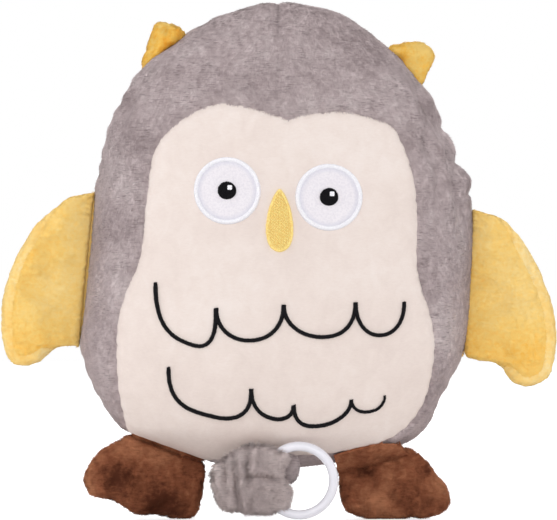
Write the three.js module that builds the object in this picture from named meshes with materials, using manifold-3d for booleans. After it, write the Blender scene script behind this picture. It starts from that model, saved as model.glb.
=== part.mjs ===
// A plush owl, upright on its two feet, with a pull ring that winds a musical movement inside it.
// It can also lie on its back, which is pressed a little flat.
// Millimetres, +Z up, the face looks along -Y and +X is the right-hand side of the front view.
// The origin lies on the floor, under the middle of the owl.
import * as THREE from 'three';
import { mergeVertices } from 'three/addons/utils/BufferGeometryUtils.js';
import Module from 'manifold-3d';

const wasm = await Module();
wasm.setup();

// Driving dimensions: clearances shared by all pieces
const GAP = 0.3;          // between pieces that touch
const RUNNING_GAP = 0.12; // round a shaft in its bore
const SEAT_GAP = 0.1;     // between metal faces that are screwed together
const OVERRUN = 2;        // how far a cutting tool runs past what it cuts
const FLAT_CUT = 0.5;     // how deep a soft foot is pressed flat by the floor
const MERGE_DISTANCE = 0.0001; // points nearer than this are one point

// Driving dimensions: body
const BODY_WIDTH = 217;
const BODY_HEIGHT = 262;
const BODY_DEPTH = 126;
const BODY_BASE = 28.6;   // the underside's height above the floor
const BACK_FLAT = 2.5;    // how deep the back is pressed flat where the owl lies on it
const COVER_THICKNESS = 2;
const BODY_ROWS = 17;
const BODY_SECTORS = 28;
const CORNER_POWER = 2.25; // 2 is an ellipse, more is boxier

// Driving dimensions: face
const EYE_RADIUS = 18.6;
const EYE_SPREAD = 56.4;  // from one eye's middle to the other's
const EYE_HEIGHT_SHARE = 0.5863; // of the body's height
const EYE_DROP = 3.6;     // how much lower the right eye sits
const PUPIL_RADIUS = 5;
const GLINT_RADIUS = 1.5;
const GLINT_OFFSET = 1.6;
const BEAK_WIDTH = 15;
const BEAK_HEIGHT = 35;
const BEAK_RISE = 2.8;    // the beak's top above the eyes' middle
const BEAK_OFFSET = 0.9;
const FELT_THICKNESS = 0.9;
const STITCH_WIDTH = 1.8;
const STITCH_THICKNESS = 0.7;
const STITCH_STEPS = 7;
const STITCH_POWER = 2.2;
const PATCH_RING_SHARE = 0.55;
const EYE_SIDES = 24;

// Driving dimensions: wings
const WING_THICKNESS = 21;
const WING_CROWN_POWER = 2;
const WING_SLOPE_SHARE = 0.36;  // how fast a wing thickens away from its seam
const LEFT_WING_REACH = 53.4;
const LEFT_WING_HEIGHT = 98.6;
const LEFT_WING_TOP_SHARE = 0.5924; // of the body's height
const RIGHT_WING_REACH = 48.4;
const RIGHT_WING_HEIGHT = 101.2;
const RIGHT_WING_TOP_SHARE = 0.5569;

// Driving dimensions: feet
const FOOT_THICKNESS = 31;
const FOOT_CROWN_POWER = 3;
const FOOT_SLOPE_SHARE = 0.52;   // how fast a foot thickens away from its seam
const LEFT_FOOT_SEAM_GAP = 0.7;
const RIGHT_FOOT_SEAM_GAP = 1.5;
const LEFT_FOOT_WIDTH = 70.4;
const LEFT_FOOT_RISE = 20.4;  // the foot's top above the body's underside
const LEFT_FOOT_SETBACK = 69.3;  // from the body's widest place in to the foot's inner edge
const RIGHT_FOOT_WIDTH = 64.6;
const RIGHT_FOOT_RISE = 12.4;
const RIGHT_FOOT_SETBACK = 76.5;
const LIMB_COVER = 1.7;
const ROOT_RADIUS = 2;    // of the flattened seam that joins a limb to the body

// Driving dimensions: ears
const EAR_THICKNESS = 17;
const EAR_WIDTH = 26.3;
const EAR_CROWN_POWER = 2;
const LEFT_EAR_SEAT_SHARE = 0.845; // of the body's height
const LEFT_EAR_OVERHANG = -1.2;    // how far the ear's outer edge passes the body's edge at its seat
const LEFT_EAR_HEIGHT = 28.7;
const RIGHT_EAR_SEAT_SHARE = 0.8076;
const RIGHT_EAR_OVERHANG = 4.9;
const RIGHT_EAR_HEIGHT = 27.3;
const EAR_DISH = 3.5;     // depth of the folded hollow in the ear's front

// Driving dimensions: pull ring, its tab and the cord
const RING_DIAMETER = 43.4;
const RING_BAR = 5.3;
const RING_LEAD = 4.4;      // the ring's middle, to the right of the tab's right edge
const RING_LIFT = 1.3;      // the ring's lowest point above the floor
const RING_STEPS = 32;
const RING_SIDES = 8;
const TAB_WIDTH = 45;
const TAB_HEIGHT = 38.6;
const TAB_REACH = 22.6;     // the tab's left edge, to the left of the eyelet
const TAB_DROP = 18.6;      // the tab's lowest point, below the ring's middle
const TAB_THICKNESS = 14;
const TAB_CROWN_POWER = 3;
const TAB_STANDOFF = 17.5;  // the tab's middle, in front of the eyelet
const CORD_DIAMETER = 1.6;
const CORD_GUIDE_WALL = 1;
const CORD_GUIDE_STEPS = 9;
const CORD_STEPS = 18;
const ROUTE_SAMPLES = 400;
const CORD_SIDES = 8;
const GUIDE_SHARES = [0.2, 0.4, 2.4]; // where the guide starts to turn, leans over and lines up
const EYELET_X = -15;
const EYELET_RISE = 6.3;    // above the body's underside
const EYELET_FLANGE_RADIUS = 4.2;
const EYELET_FLANGE_THICKNESS = 1;
const EYELET_BARREL_LENGTH = 6;
const KNOT_RADIUS = 2.4;
const TAIL_GAP_SHARE = 0.05;          // of the way from the eyelet to the knot
const WOUND_TURNS = 4;

// Driving dimensions: musical movement
const MOVEMENT_Y = 1;
const MOVEMENT_RISE = 83.4; // the case's middle above the body's underside
const WHEEL_CLEARANCE = 0.38; // between the great wheel and the case
const CASE_WALL = 1.5;
const CASE_SECTORS = 26;
const PLATE_THICKNESS = 1.2;
const PLATE_SPAN = 18.6;   // between the two plates' inner faces
const GEAR_MODULE = 0.8;
const GEAR_THICKNESS = 2.2;
const GEAR_BACKLASH = 0.28;
const PRESSURE_ANGLE = Math.PI / 9;
const ADDENDUM_SHARE = 0.9;   // of the module
const DEDENDUM_SHARE = 1.25;
const FILLET_SHARE = 1.15;    // how much wider a tooth is at its root
const SPOOL_TEETH = 36;
const CYLINDER_TEETH = 18;
const GOVERNOR_TEETH = 9;
const SPOOL_OFFSET = 9.5;    // the spool's axis, to the left of the case's middle
const SPOOL_Z = 1;
const SPOOL_DRUM_RADIUS = 11.1;
const SPOOL_WALL = 1.5;
const SPOOL_FLANGE = 1;
const SPOOL_FLANGE_DEPTH = 3.5;  // beyond the drum
const END_PLAY = 0.6;        // between a turning piece and the front plate
const CYLINDER_ANGLE = -8;  // degrees, from the spool to the pinned cylinder
const GOVERNOR_ANGLE = 75;  // degrees, from the pinned cylinder to the governor
const CENTRE_SLACK = 0.1;
const CYLINDER_RADIUS = 6;
const PIN_HEIGHT = 0.6;
const PIN_WIDTH = 0.5;
const PIN_ROWS = 10;
const PINS_PER_ROW = 2;
const PIN_STEP_SHARE = 0.382; // of a turn between neighbouring rows
const CYLINDER_SIDES = 20;
const ARBOR_RADIUS = 1.5;
const GOVERNOR_ARBOR_RADIUS = 0.8;
const FAN_RADIUS = 3.8;
const FAN_THICKNESS = 0.8;
const FAN_LENGTH = 9;
const COMB_THICKNESS = 1.1;
const COMB_LENGTH = 10.6;
const COMB_HEEL = 5;
const TOOTH_GAP = 0.35;
const SPRING_STRIP = 0.45;
const SPRING_TURNS = 4;
const SPRING_STEPS_PER_TURN = 9;
const SPRING_WIDTH = 8;
const COMB_BLOCK_WIDTH = 3.7;
const COMB_SCREW_HEAD_RADIUS = 1.5;
const PILLAR_RADIUS = 1.7;
const PILLAR_MARGIN = 3.1;   // from a pillar's axis to the plate's edge
const PILLAR_ANGLES = [84, 262, -32];
const SCREW_HEAD_RADIUS = 2;
const SCREW_HEAD_HEIGHT = 1;
const SCREW_RADIUS = 0.8;
const SCREW_LENGTH = 4;
const SCREW_SIDES = 10;
const CORD_FORWARD = 3;      // how far the wound cord's middle lies in front of the case's joint
const SHAFT_SIDES = 14;

// Colours and finishes
const PLUSH = { roughness: 0.95, metalness: 0 };
const PLASTIC = { roughness: 0.25, metalness: 0 };
const METAL = { roughness: 0.35, metalness: 1 };
const material = (color, finish) => new THREE.MeshStandardMaterial({ color, ...finish });
const greyPlush = () => material(0xa59694, PLUSH);
const creamPlush = () => material(0xf0e4d2, PLUSH);
const yellowPlush = () => material(0xfbc868, PLUSH);
const brownPlush = () => material(0x85503a, PLUSH);
const stuffing = () => material(0xf4f4f0, PLUSH);
const blackThread = () => material(0x1c1a1c, { roughness: 0.6, metalness: 0 });
const whiteThread = () => material(0xf7f7f7, { roughness: 0.6, metalness: 0 });
const yellowThread = () => material(0xf0c04c, { roughness: 0.5, metalness: 0 });
const whitePlastic = () => material(0xf6f7fa, PLASTIC);
const casePlastic = () => material(0xdfe3e6, PLASTIC);
const steel = () => material(0xb9bcc0, METAL);
const brass = () => material(0xc9a64e, METAL);
const cordWhite = () => material(0xeeeae2, { roughness: 0.8, metalness: 0 });

const owl = new THREE.Group();

// Solids and booleans

function toSolid(geometry) {
  const bare = geometry.index ? geometry.clone() : geometry;
  bare.deleteAttribute('normal');
  bare.deleteAttribute('uv');
  const merged = mergeVertices(bare, MERGE_DISTANCE);
  return new wasm.Manifold(new wasm.Mesh({
    numProp: 3,
    vertProperties: new Float32Array(merged.attributes.position.array),
    triVerts: new Uint32Array(merged.index.array),
  }));
}

function toGeometry(solid) {
  const mesh = solid.getMesh();
  const geometry = new THREE.BufferGeometry();
  geometry.setAttribute('position', new THREE.BufferAttribute(new Float32Array(mesh.vertProperties), 3));
  geometry.setIndex(new THREE.BufferAttribute(new Uint32Array(mesh.triVerts), 1));
  geometry.computeVertexNormals();
  return geometry;
}

function add(name, shape, look, parent = owl) {
  const geometry = shape.isBufferGeometry ? shape : toGeometry(shape);
  const mesh = new THREE.Mesh(geometry, look);
  mesh.name = name;
  parent.add(mesh);
}

// A closed body from rings of points, joined row by row, with a single point at each end
function fromRings(firstPole, rings, lastPole) {
  const count = rings[0].length;
  const positions = [...firstPole];
  for (const ring of rings) {
    for (const point of ring) positions.push(...point);
  }
  positions.push(...lastPole);
  const at = (row, i) => 1 + row * count + (i % count);
  const last = positions.length / 3 - 1;
  const index = [];
  for (let i = 0; i < count; i += 1) {
    index.push(0, at(0, i + 1), at(0, i));
    for (let row = 0; row < rings.length - 1; row += 1) {
      index.push(at(row, i), at(row, i + 1), at(row + 1, i + 1));
      index.push(at(row, i), at(row + 1, i + 1), at(row + 1, i));
    }
    index.push(at(rings.length - 1, i), at(rings.length - 1, i + 1), last);
  }
  const geometry = new THREE.BufferGeometry();
  geometry.setAttribute('position', new THREE.Float32BufferAttribute(positions, 3));
  geometry.setIndex(index);
  return facingOut(geometry);
}

// Turns a closed body's triangles over if they face inwards
function facingOut(geometry) {
  const p = geometry.attributes.position;
  const index = geometry.index.array;
  const [a, b, c] = [new THREE.Vector3(), new THREE.Vector3(), new THREE.Vector3()];
  let volume = 0;
  for (let i = 0; i < index.length; i += 3) {
    a.fromBufferAttribute(p, index[i]);
    b.fromBufferAttribute(p, index[i + 1]);
    c.fromBufferAttribute(p, index[i + 2]);
    volume += a.dot(b.cross(c));
  }
  if (volume < 0) {
    for (let i = 0; i < index.length; i += 3) [index[i], index[i + 1]] = [index[i + 1], index[i]];
  }
  return geometry;
}

// A flat outline in the front view, given as x and z, made solid between two depths
function slab(points, yFront, yBack, holes = []) {
  const shape = new THREE.Shape(points.map(([x, z]) => new THREE.Vector2(x, z)));
  for (const hole of holes) {
    shape.holes.push(new THREE.Path(hole.map(([x, z]) => new THREE.Vector2(x, z))));
  }
  const geometry = new THREE.ExtrudeGeometry(shape, { depth: yBack - yFront, bevelEnabled: false });
  return geometry.rotateX(Math.PI / 2).translate(0, yBack, 0);
}

function circle(radius, sides, x = 0, z = 0) {
  return Array.from({ length: sides }, (_, i) => {
    const angle = (i / sides) * Math.PI * 2;
    return [x + radius * Math.cos(angle), z + radius * Math.sin(angle)];
  });
}

// A rod or disc along Y
function rodY(radius, yFront, yBack, x, z, sides = SHAFT_SIDES) {
  return slab(circle(radius, sides, x, z), yFront, yBack);
}

// A turned body about Y: the profile gives radius and y
function turnedY(profile, x, z, sides = SHAFT_SIDES) {
  const points = profile.map(([radius, y]) => new THREE.Vector2(radius, y));
  return facingOut(mergeVertices(bareLathe(points, sides).translate(x, 0, z), MERGE_DISTANCE));
}

function bareLathe(points, sides) {
  const geometry = new THREE.LatheGeometry(points, sides);
  geometry.deleteAttribute('normal');
  geometry.deleteAttribute('uv');
  return geometry;
}

function block(low, high) {
  const size = high.map((value, i) => value - low[i]);
  const middle = high.map((value, i) => (value + low[i]) / 2);
  return toSolid(new THREE.BoxGeometry(...size).translate(...middle));
}

// A smooth value from a table of shares, by cubic steps
function smoothShare(table, column, at) {
  let i = 0;
  while (i < table.length - 2 && table[i + 1][0] < at) i += 1;
  const slope = (k) => {
    const low = table[Math.max(k - 1, 0)];
    const high = table[Math.min(k + 1, table.length - 1)];
    return (high[column] - low[column]) / (high[0] - low[0]);
  };
  const [from, to] = [table[i], table[i + 1]];
  const span = to[0] - from[0];
  const t = Math.min(Math.max((at - from[0]) / span, 0), 1);
  const [t2, t3] = [t * t, t * t * t];
  return (2 * t3 - 3 * t2 + 1) * from[column] + (t3 - 2 * t2 + t) * span * slope(i)
    + (3 * t2 - 2 * t3) * to[column] + (t3 - t2) * span * slope(i + 1);
}

// Body form

// Front view: height share, then the left and right edges as shares of half the width
const bodyOutlineShares = [
  [0, 0, 0], [0.004, 0.2, 0.16], [0.015, 0.361, 0.335], [0.034, 0.495, 0.52], [0.058, 0.65, 0.68],
  [0.081, 0.79, 0.75], [0.103, 0.845, 0.79], [0.128, 0.89, 0.822], [0.154, 0.934, 0.855],
  [0.179, 0.968, 0.885], [0.214, 1, 0.925], [0.263, 1.02, 0.965], [0.316, 1.003, 0.984],
  [0.402, 0.981, 0.996], [0.487, 0.962, 1], [0.564, 0.948, 0.996], [0.615, 0.94, 0.975],
  [0.667, 0.916, 0.925], [0.718, 0.882, 0.87], [0.769, 0.828, 0.82], [0.821, 0.764, 0.743],
  [0.872, 0.662, 0.648], [0.897, 0.585, 0.578], [0.923, 0.495, 0.505], [0.949, 0.388, 0.413],
  [0.974, 0.262, 0.297], [0.991, 0.145, 0.16], [1, 0, 0],
];
// Side view: height share, then the front and back edges as shares of half the depth
const bodyProfileShares = [
  [0, 0, 0], [0.008, 0.24, 0.24], [0.022, 0.41, 0.41], [0.05, 0.56, 0.57], [0.1, 0.74, 0.75],
  [0.18, 0.9, 0.9], [0.28, 0.985, 0.98], [0.38, 1, 1], [0.5, 0.975, 0.985], [0.62, 0.905, 0.93],
  [0.72, 0.82, 0.85], [0.82, 0.69, 0.72], [0.9, 0.53, 0.56], [0.95, 0.385, 0.4],
  [0.985, 0.215, 0.22], [1, 0, 0],
];

// A row's place on the height, closer together towards both ends, and back again
const heightShare = (t) => (1 - Math.cos(Math.PI * t)) / 2;
const rowOf = (share) => Math.acos(1 - 2 * Math.min(Math.max(share, 0), 1)) / Math.PI;
const byRow = (table) => table.map(([share, ...values]) => [rowOf(share), ...values]);
const outlineByRow = byRow(bodyOutlineShares);
const profileByRow = byRow(bodyProfileShares);

// Half widths and half depths of the body at a height, with the surface drawn in by an inset
function bodySection(t, inset) {
  return {
    left: smoothShare(outlineByRow, 1, t) * (BODY_WIDTH / 2 - inset),
    right: smoothShare(outlineByRow, 2, t) * (BODY_WIDTH / 2 - inset),
    front: smoothShare(profileByRow, 1, t) * (BODY_DEPTH / 2 - inset),
    back: smoothShare(profileByRow, 2, t) * (BODY_DEPTH / 2 + BACK_FLAT - inset),
    z: BODY_BASE + inset + heightShare(t) * (BODY_HEIGHT - 2 * inset),
  };
}

function bodyForm(inset) {
  const backPlane = BODY_DEPTH / 2 - inset;
  const rings = [];
  for (let row = 1; row < BODY_ROWS; row += 1) {
    const section = bodySection(row / BODY_ROWS, inset);
    rings.push(Array.from({ length: BODY_SECTORS }, (_, i) => {
      const angle = (i / BODY_SECTORS) * Math.PI * 2;
      const [c, s] = [Math.cos(angle), Math.sin(angle)];
      const across = Math.sign(c) * Math.abs(c) ** (2 / CORNER_POWER);
      const along = Math.sign(s) * Math.abs(s) ** (2 / CORNER_POWER);
      return [
        across * (c < 0 ? section.left : section.right),
        Math.min(along * (s < 0 ? section.front : section.back), backPlane),
        section.z,
      ];
    }));
  }
  return fromRings([0, 0, BODY_BASE + inset], rings, [0, 0, BODY_BASE + BODY_HEIGHT - inset]);
}

// The body's front surface, as y at a place in the front view
function frontOf(x, z) {
  const section = bodySection(rowOf((z - BODY_BASE) / BODY_HEIGHT), 0);
  const half = x < 0 ? section.left : section.right;
  const share = Math.min(Math.abs(x) / half, 1);
  return -section.front * (1 - share ** CORNER_POWER) ** (1 / CORNER_POWER);
}

const heightOf = (share) => BODY_BASE + share * BODY_HEIGHT;
const onBody = ([across, up]) => [across * (BODY_WIDTH / 2), heightOf(up)];

// Cream panel's outline, as shares of half the body's width and of its height
const panelShares = [
  [0.052, 0.744], [0.11, 0.754], [0.227, 0.761], [0.345, 0.763], [0.495, 0.75], [0.59, 0.733],
  [0.64, 0.7], [0.676, 0.662], [0.707, 0.607], [0.72, 0.547], [0.72, 0.444], [0.748, 0.387],
  [0.795, 0.329], [0.815, 0.271], [0.81, 0.216], [0.774, 0.145], [0.69, 0.09], [0.57, 0.056],
  [0.42, 0.036], [0.2, 0.025], [-0.1, 0.024], [-0.35, 0.032], [-0.56, 0.058], [-0.71, 0.082],
  [-0.787, 0.1], [-0.828, 0.169], [-0.841, 0.25], [-0.828, 0.318], [-0.787, 0.38],
  [-0.712, 0.455], [-0.692, 0.541], [-0.676, 0.594], [-0.666, 0.637], [-0.635, 0.686],
  [-0.563, 0.724], [-0.454, 0.758], [-0.325, 0.778], [-0.222, 0.778], [-0.09, 0.765],
  [0.01, 0.752],
];

// An outline moved out along its normals; a negative distance moves it in
function grown(points, distance) {
  const turn = area(points) > 0 ? 1 : -1;
  return points.map(([x, z], i) => {
    const [ax, az] = points[(i + points.length - 1) % points.length];
    const [bx, bz] = points[(i + 1) % points.length];
    const length = Math.hypot(bx - ax, bz - az);
    return [x + (turn * distance * (bz - az)) / length, z - (turn * distance * (bx - ax)) / length];
  });
}

function area(points) {
  return points.reduce((sum, [x, z], i) => {
    const [nx, nz] = points[(i + 1) % points.length];
    return sum + x * nz - nx * z;
  }, 0) / 2;
}

const creamOutline = panelShares.map(onBody);

// A limb or ear is a sewn pad: a front and a back sheet that swell between their seam.
// Its outline lies in the front view. A root line, where it has one, keeps it thin beside the body.
function padForm({ outline, y, thickness, power, ringShares, root, slope, inset = 0, dish = 0 }) {
  const edge = grown(outline, -inset);
  const middle = [
    edge.reduce((sum, p) => sum + p[0], 0) / edge.length,
    edge.reduce((sum, p) => sum + p[1], 0) / edge.length,
  ];
  const halfAt = (point, share) => {
    const crown = (thickness / 2 - inset) * (1 - share ** power) ** (1 / power);
    const thin = root ? ROOT_RADIUS - inset + slope * distanceTo(root, point) : crown;
    return Math.max(Math.min(crown, thin), 0);
  };
  const ringAt = (share, side) => edge.map((p) => {
    const point = [middle[0] + (p[0] - middle[0]) * share, middle[1] + (p[1] - middle[1]) * share];
    const hollow = side < 0 ? dish * (1 - share * share) : 0;
    return [point[0], y + side * halfAt(point, share) + hollow, point[1]];
  });
  const seam = edge.map((p) => [p[0], y, p[1]]);
  const rings = [
    ...[...ringShares].reverse().map((share) => ringAt(share, -1)),
    seam,
    ...ringShares.map((share) => ringAt(share, 1)),
  ];
  const half = halfAt(middle, 0);
  return fromRings([middle[0], y - half + dish, middle[1]], rings, [middle[0], y + half, middle[1]]);
}

function distanceTo([a, b], [x, z]) {
  const [dx, dz] = [b[0] - a[0], b[1] - a[1]];
  return Math.abs((x - a[0]) * dz - (z - a[1]) * dx) / Math.hypot(dx, dz);
}

// A sewn limb: front cover, back cover and the filling between them
function addLimb(name, pad, look, cuts) {
  const trim = (solid) => cuts.reduce((kept, cut) => kept.subtract(cut), solid);
  const outer = toSolid(padForm(pad));
  const inner = toSolid(padForm({ ...pad, inset: LIMB_COVER }));
  const filling = trim(toSolid(padForm({ ...pad, inset: LIMB_COVER + GAP })));
  const shell = trim(outer.subtract(inner));
  const [low, high] = [[-BODY_WIDTH, -BODY_DEPTH, -BODY_HEIGHT], [BODY_WIDTH, BODY_DEPTH, BODY_HEIGHT]];
  const front = block(low, [high[0], pad.y - GAP / 2, high[2]]);
  const back = block([low[0], pad.y + GAP / 2, low[2]], high);
  add(`${name}_front_cover`, shell.intersect(front), look());
  add(`${name}_back_cover`, shell.intersect(back), look());
  add(`${name}_filling`, filling, stuffing());
}

// Wings

// The body's edge at a height, and the root line that runs just outside it
const sideX = (z, side) => {
  const section = bodySection(rowOf((z - BODY_BASE) / BODY_HEIGHT), 0);
  return side < 0 ? -section.left : section.right;
};

// Outlines from the top of the root: share of the reach outwards, share of the height downwards
const leftWingShares = [
  [0, 0.035], [0.11, 0.004], [0.282, 0.034], [0.462, 0.109], [0.643, 0.2], [0.779, 0.3],
  [0.876, 0.407], [0.959, 0.544], [1, 0.69], [0.994, 0.833], [0.955, 0.94], [0.866, 0.992],
  [0.728, 1], [0.592, 0.975], [0.493, 0.936], [0.405, 0.905], [0.3, 0.905], [0.15, 0.89],
  [0.1, 0.8], [0.07, 0.6], [0.04, 0.4], [0.02, 0.2],
];
const rightWingShares = [
  [0, 0.03], [0.084, 0], [0.19, 0.011], [0.334, 0.048], [0.49, 0.111], [0.614, 0.186],
  [0.738, 0.289], [0.861, 0.422], [0.96, 0.56], [1, 0.7], [0.985, 0.815], [0.94, 0.919],
  [0.831, 0.975], [0.675, 1], [0.543, 0.99], [0.443, 0.955], [0.36, 0.9], [0.25, 0.863],
  [0.1, 0.846], [0, 0.8], [0, 0.55], [0, 0.28],
];

// A wing's root runs along the body's side between two shares of the wing's height
const wingRootShares = [0.03, 0.84];
const wingRingShares = [0.88, 0.5];

function wingRoot(top, height, side, away) {
  return wingRootShares.map((share) => {
    const z = top - share * height;
    return [sideX(z, side) + side * away, z];
  });
}

function addWing(name, side, shares, reach, height, top) {
  const [rootTop, rootBottom] = wingRoot(top, height, side, GAP * 2);
  const seamX = (z) => {
    const t = (rootTop[1] - z) / (rootTop[1] - rootBottom[1]);
    return rootTop[0] + (rootBottom[0] - rootTop[0]) * t;
  };
  // every point of the outline is measured from the straight seam line, which no point crosses
  const tip = seamX(top) + side * reach;
  const outline = shares.map(([outward, down]) => {
    const z = top - down * height;
    const x = seamX(top) + (tip - seamX(top)) * outward;
    return side < 0 ? [Math.min(x, seamX(z)), z] : [Math.max(x, seamX(z)), z];
  });
  addLimb(name, {
    outline,
    y: 0,
    thickness: WING_THICKNESS,
    power: WING_CROWN_POWER,
    ringShares: wingRingShares,
    root: wingRoot(top, height, side, GAP * 2 + ROOT_RADIUS),
    slope: WING_SLOPE_SHARE,
  }, yellowPlush, [bodyClearance]);
}

const bodyClearance = toSolid(bodyForm(-GAP));

const leftWingTop = heightOf(LEFT_WING_TOP_SHARE);
const rightWingTop = heightOf(RIGHT_WING_TOP_SHARE);
addWing('left_wing', -1, leftWingShares, LEFT_WING_REACH, LEFT_WING_HEIGHT, leftWingTop);
addWing('right_wing', 1, rightWingShares, RIGHT_WING_REACH, RIGHT_WING_HEIGHT, rightWingTop);

// Feet

// Outlines as shares of the width outwards from the inner edge, and of the height up from the floor
const leftFootShares = [
  [0.02, 0.665], [0.03, 0.4], [0.045, 0.25], [0.07, 0.1], [0.13, 0.02], [0.21, -0.01], [0.3, 0],
  [0.4, 0.05], [0.5, 0.05], [0.58, 0.065], [0.67, 0.14], [0.74, 0.2], [0.87, 0.245],
  [0.955, 0.3], [1, 0.45], [0.97, 0.58], [0.91, 0.71], [0.82, 0.83], [0.72, 0.92], [0.63, 1],
  [0.42, 0.9], [0.2, 0.78],
];
const rightFootShares = [
  [-0.01, 0.8], [0.03, 0.6], [0.04, 0.35], [0.08, 0.15], [0.17, 0.06], [0.3, 0.01], [0.42, -0.01],
  [0.54, -0.01], [0.65, 0.03], [0.77, 0.02], [0.9, 0.06], [0.99, 0.17], [1, 0.31], [0.967, 0.49],
  [0.885, 0.645], [0.8, 0.8], [0.7, 0.93], [0.6, 1], [0.4, 0.95], [0.2, 0.87],
];

// A foot's seam runs straight along the body's lower edge between two shares of the foot's width
const leftFootRootShares = [0.02, 0.63];
const rightFootRootShares = [0.02, 0.6];
const footRingShares = [0.97, 0.7];
const undersideShare = 0.2; // of the body's height, where its underside has turned into its sides

// The height at which the body's underside is as wide as a place across
function lowerEdgeZ(x) {
  let [low, high] = [0, rowOf(undersideShare)];
  const tries = 30;
  for (let i = 0; i < tries; i += 1) {
    const t = (low + high) / 2;
    const section = bodySection(t, 0);
    if ((x < 0 ? section.left : section.right) < Math.abs(x)) low = t;
    else high = t;
  }
  return bodySection((low + high) / 2, 0).z;
}

function footRoot(shares, width, innerX, side, below) {
  return shares.map((share) => {
    const x = innerX + side * share * width;
    return [x, lowerEdgeZ(x) - below];
  });
}

function addFoot(name, side, shares, rootShares, seamGap, width, height, setback) {
  const innerX = side * (BODY_WIDTH / 2 - setback);
  const seam = footRoot(rootShares, width, innerX, side, seamGap);
  const seamZ = (x) => {
    const t = (x - seam[0][0]) / (seam[1][0] - seam[0][0]);
    return seam[0][1] + (seam[1][1] - seam[0][1]) * t;
  };
  const outline = shares.map(([outward, up]) => {
    const x = innerX + side * outward * width;
    return [x, Math.min(up * height, seamZ(x))];
  });
  const floor = block([-BODY_WIDTH, -BODY_DEPTH, -BODY_BASE], [BODY_WIDTH, BODY_DEPTH, 0]);
  addLimb(name, {
    outline: outline.map(([x, z]) => [x, z - FLAT_CUT * (1 - z / height)]),
    y: 0,
    thickness: FOOT_THICKNESS,
    power: FOOT_CROWN_POWER,
    ringShares: footRingShares,
    root: footRoot(rootShares, width, innerX, side, seamGap + ROOT_RADIUS),
    slope: FOOT_SLOPE_SHARE,
  }, brownPlush, [bodyClearance, floor]);
}

addFoot('left_foot', -1, leftFootShares, leftFootRootShares, LEFT_FOOT_SEAM_GAP,
  LEFT_FOOT_WIDTH, BODY_BASE + LEFT_FOOT_RISE, LEFT_FOOT_SETBACK);
addFoot('right_foot', 1, rightFootShares, rightFootRootShares, RIGHT_FOOT_SEAM_GAP,
  RIGHT_FOOT_WIDTH, BODY_BASE + RIGHT_FOOT_RISE, RIGHT_FOOT_SETBACK);

// Ears: folded plush tufts with a hollow in the front

const leftEarBaseShares = [[0.86, 0.46], [0.55, 0.16], [0.22, -0.06]];
const leftEarShares = [
  [0, 0.07], [0.06, 0.33], [0.14, 0.617], [0.312, 0.969], [0.51, 1], [0.802, 0.927], [1, 0.721],
  ...leftEarBaseShares,
];
const rightEarBaseShares = [[0.36, 0.1], [0.14, 0.42], [0.02, 0.7]];
const rightEarShares = [
  [0, 0.923], [0.171, 0.952], [0.44, 0.985], [0.711, 1], [0.958, 0.835], [1, 0.648],
  [0.852, 0.293], [0.681, 0.062], [0.51, 0], ...rightEarBaseShares,
];

const earRingShares = [0.92, 0.6];

function addEar(name, side, shares, seatShare, overhang, height) {
  const base = heightOf(seatShare);
  const edge = sideX(base, side) + side * overhang;
  const left = side < 0 ? edge : edge - EAR_WIDTH;
  const pad = padForm({
    outline: shares.map(([across, up]) => [left + across * EAR_WIDTH, base + up * height]),
    y: 0,
    thickness: EAR_THICKNESS,
    power: EAR_CROWN_POWER,
    ringShares: earRingShares,
    dish: EAR_DISH,
  });
  add(name, toSolid(pad).subtract(bodyClearance), yellowPlush());
}

addEar('left_ear', -1, leftEarShares, LEFT_EAR_SEAT_SHARE, LEFT_EAR_OVERHANG, LEFT_EAR_HEIGHT);
addEar('right_ear', 1, rightEarShares, RIGHT_EAR_SEAT_SHARE, RIGHT_EAR_OVERHANG, RIGHT_EAR_HEIGHT);

// Eyelet in the seam under the cream panel, where the pull cord comes out

function bodyNormal(x, z) {
  const step = COVER_THICKNESS / 2;
  const alongX = (frontOf(x + step, z) - frontOf(x - step, z)) / (2 * step);
  const alongZ = (frontOf(x, z + step) - frontOf(x, z - step)) / (2 * step);
  return new THREE.Vector3(alongX, -1, alongZ).normalize();
}

const cordRadius = CORD_DIAMETER / 2;
const boreRadius = cordRadius + GAP;
const guideRadius = boreRadius + CORD_GUIDE_WALL;
const eyeletZ = BODY_BASE + EYELET_RISE;
const eyelet = new THREE.Vector3(EYELET_X, frontOf(EYELET_X, eyeletZ), eyeletZ);
const eyeletOut = bodyNormal(EYELET_X, eyeletZ);
const fromEyelet = (distance) => eyelet.clone().addScaledVector(eyeletOut, distance);

// A turned body about the line through the eyelet; the profile gives radius and distance outwards
function turnedAtEyelet(profile) {
  const points = profile.map(([radius, distance]) => new THREE.Vector2(radius, distance));
  const geometry = bareLathe(points, SHAFT_SIDES);
  const turn = new THREE.Quaternion().setFromUnitVectors(new THREE.Vector3(0, 1, 0), eyeletOut);
  geometry.applyQuaternion(turn).translate(eyelet.x, eyelet.y, eyelet.z);
  return facingOut(mergeVertices(geometry, MERGE_DISTANCE));
}

const flangeTop = GAP + EYELET_FLANGE_THICKNESS;
add('cord_eyelet', turnedAtEyelet([
  [boreRadius, -EYELET_BARREL_LENGTH], [guideRadius, -EYELET_BARREL_LENGTH], [guideRadius, GAP],
  [EYELET_FLANGE_RADIUS, GAP], [EYELET_FLANGE_RADIUS, flangeTop], [boreRadius, flangeTop],
  [boreRadius, -EYELET_BARREL_LENGTH],
]), whitePlastic());
const eyeletHole = toSolid(turnedAtEyelet([
  [0, -EYELET_BARREL_LENGTH - GAP], [guideRadius + GAP, -EYELET_BARREL_LENGTH - GAP],
  [guideRadius + GAP, OVERRUN], [0, OVERRUN],
]));

// Musical movement: places in the movement's own frame, whose origin is the case's middle

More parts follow.
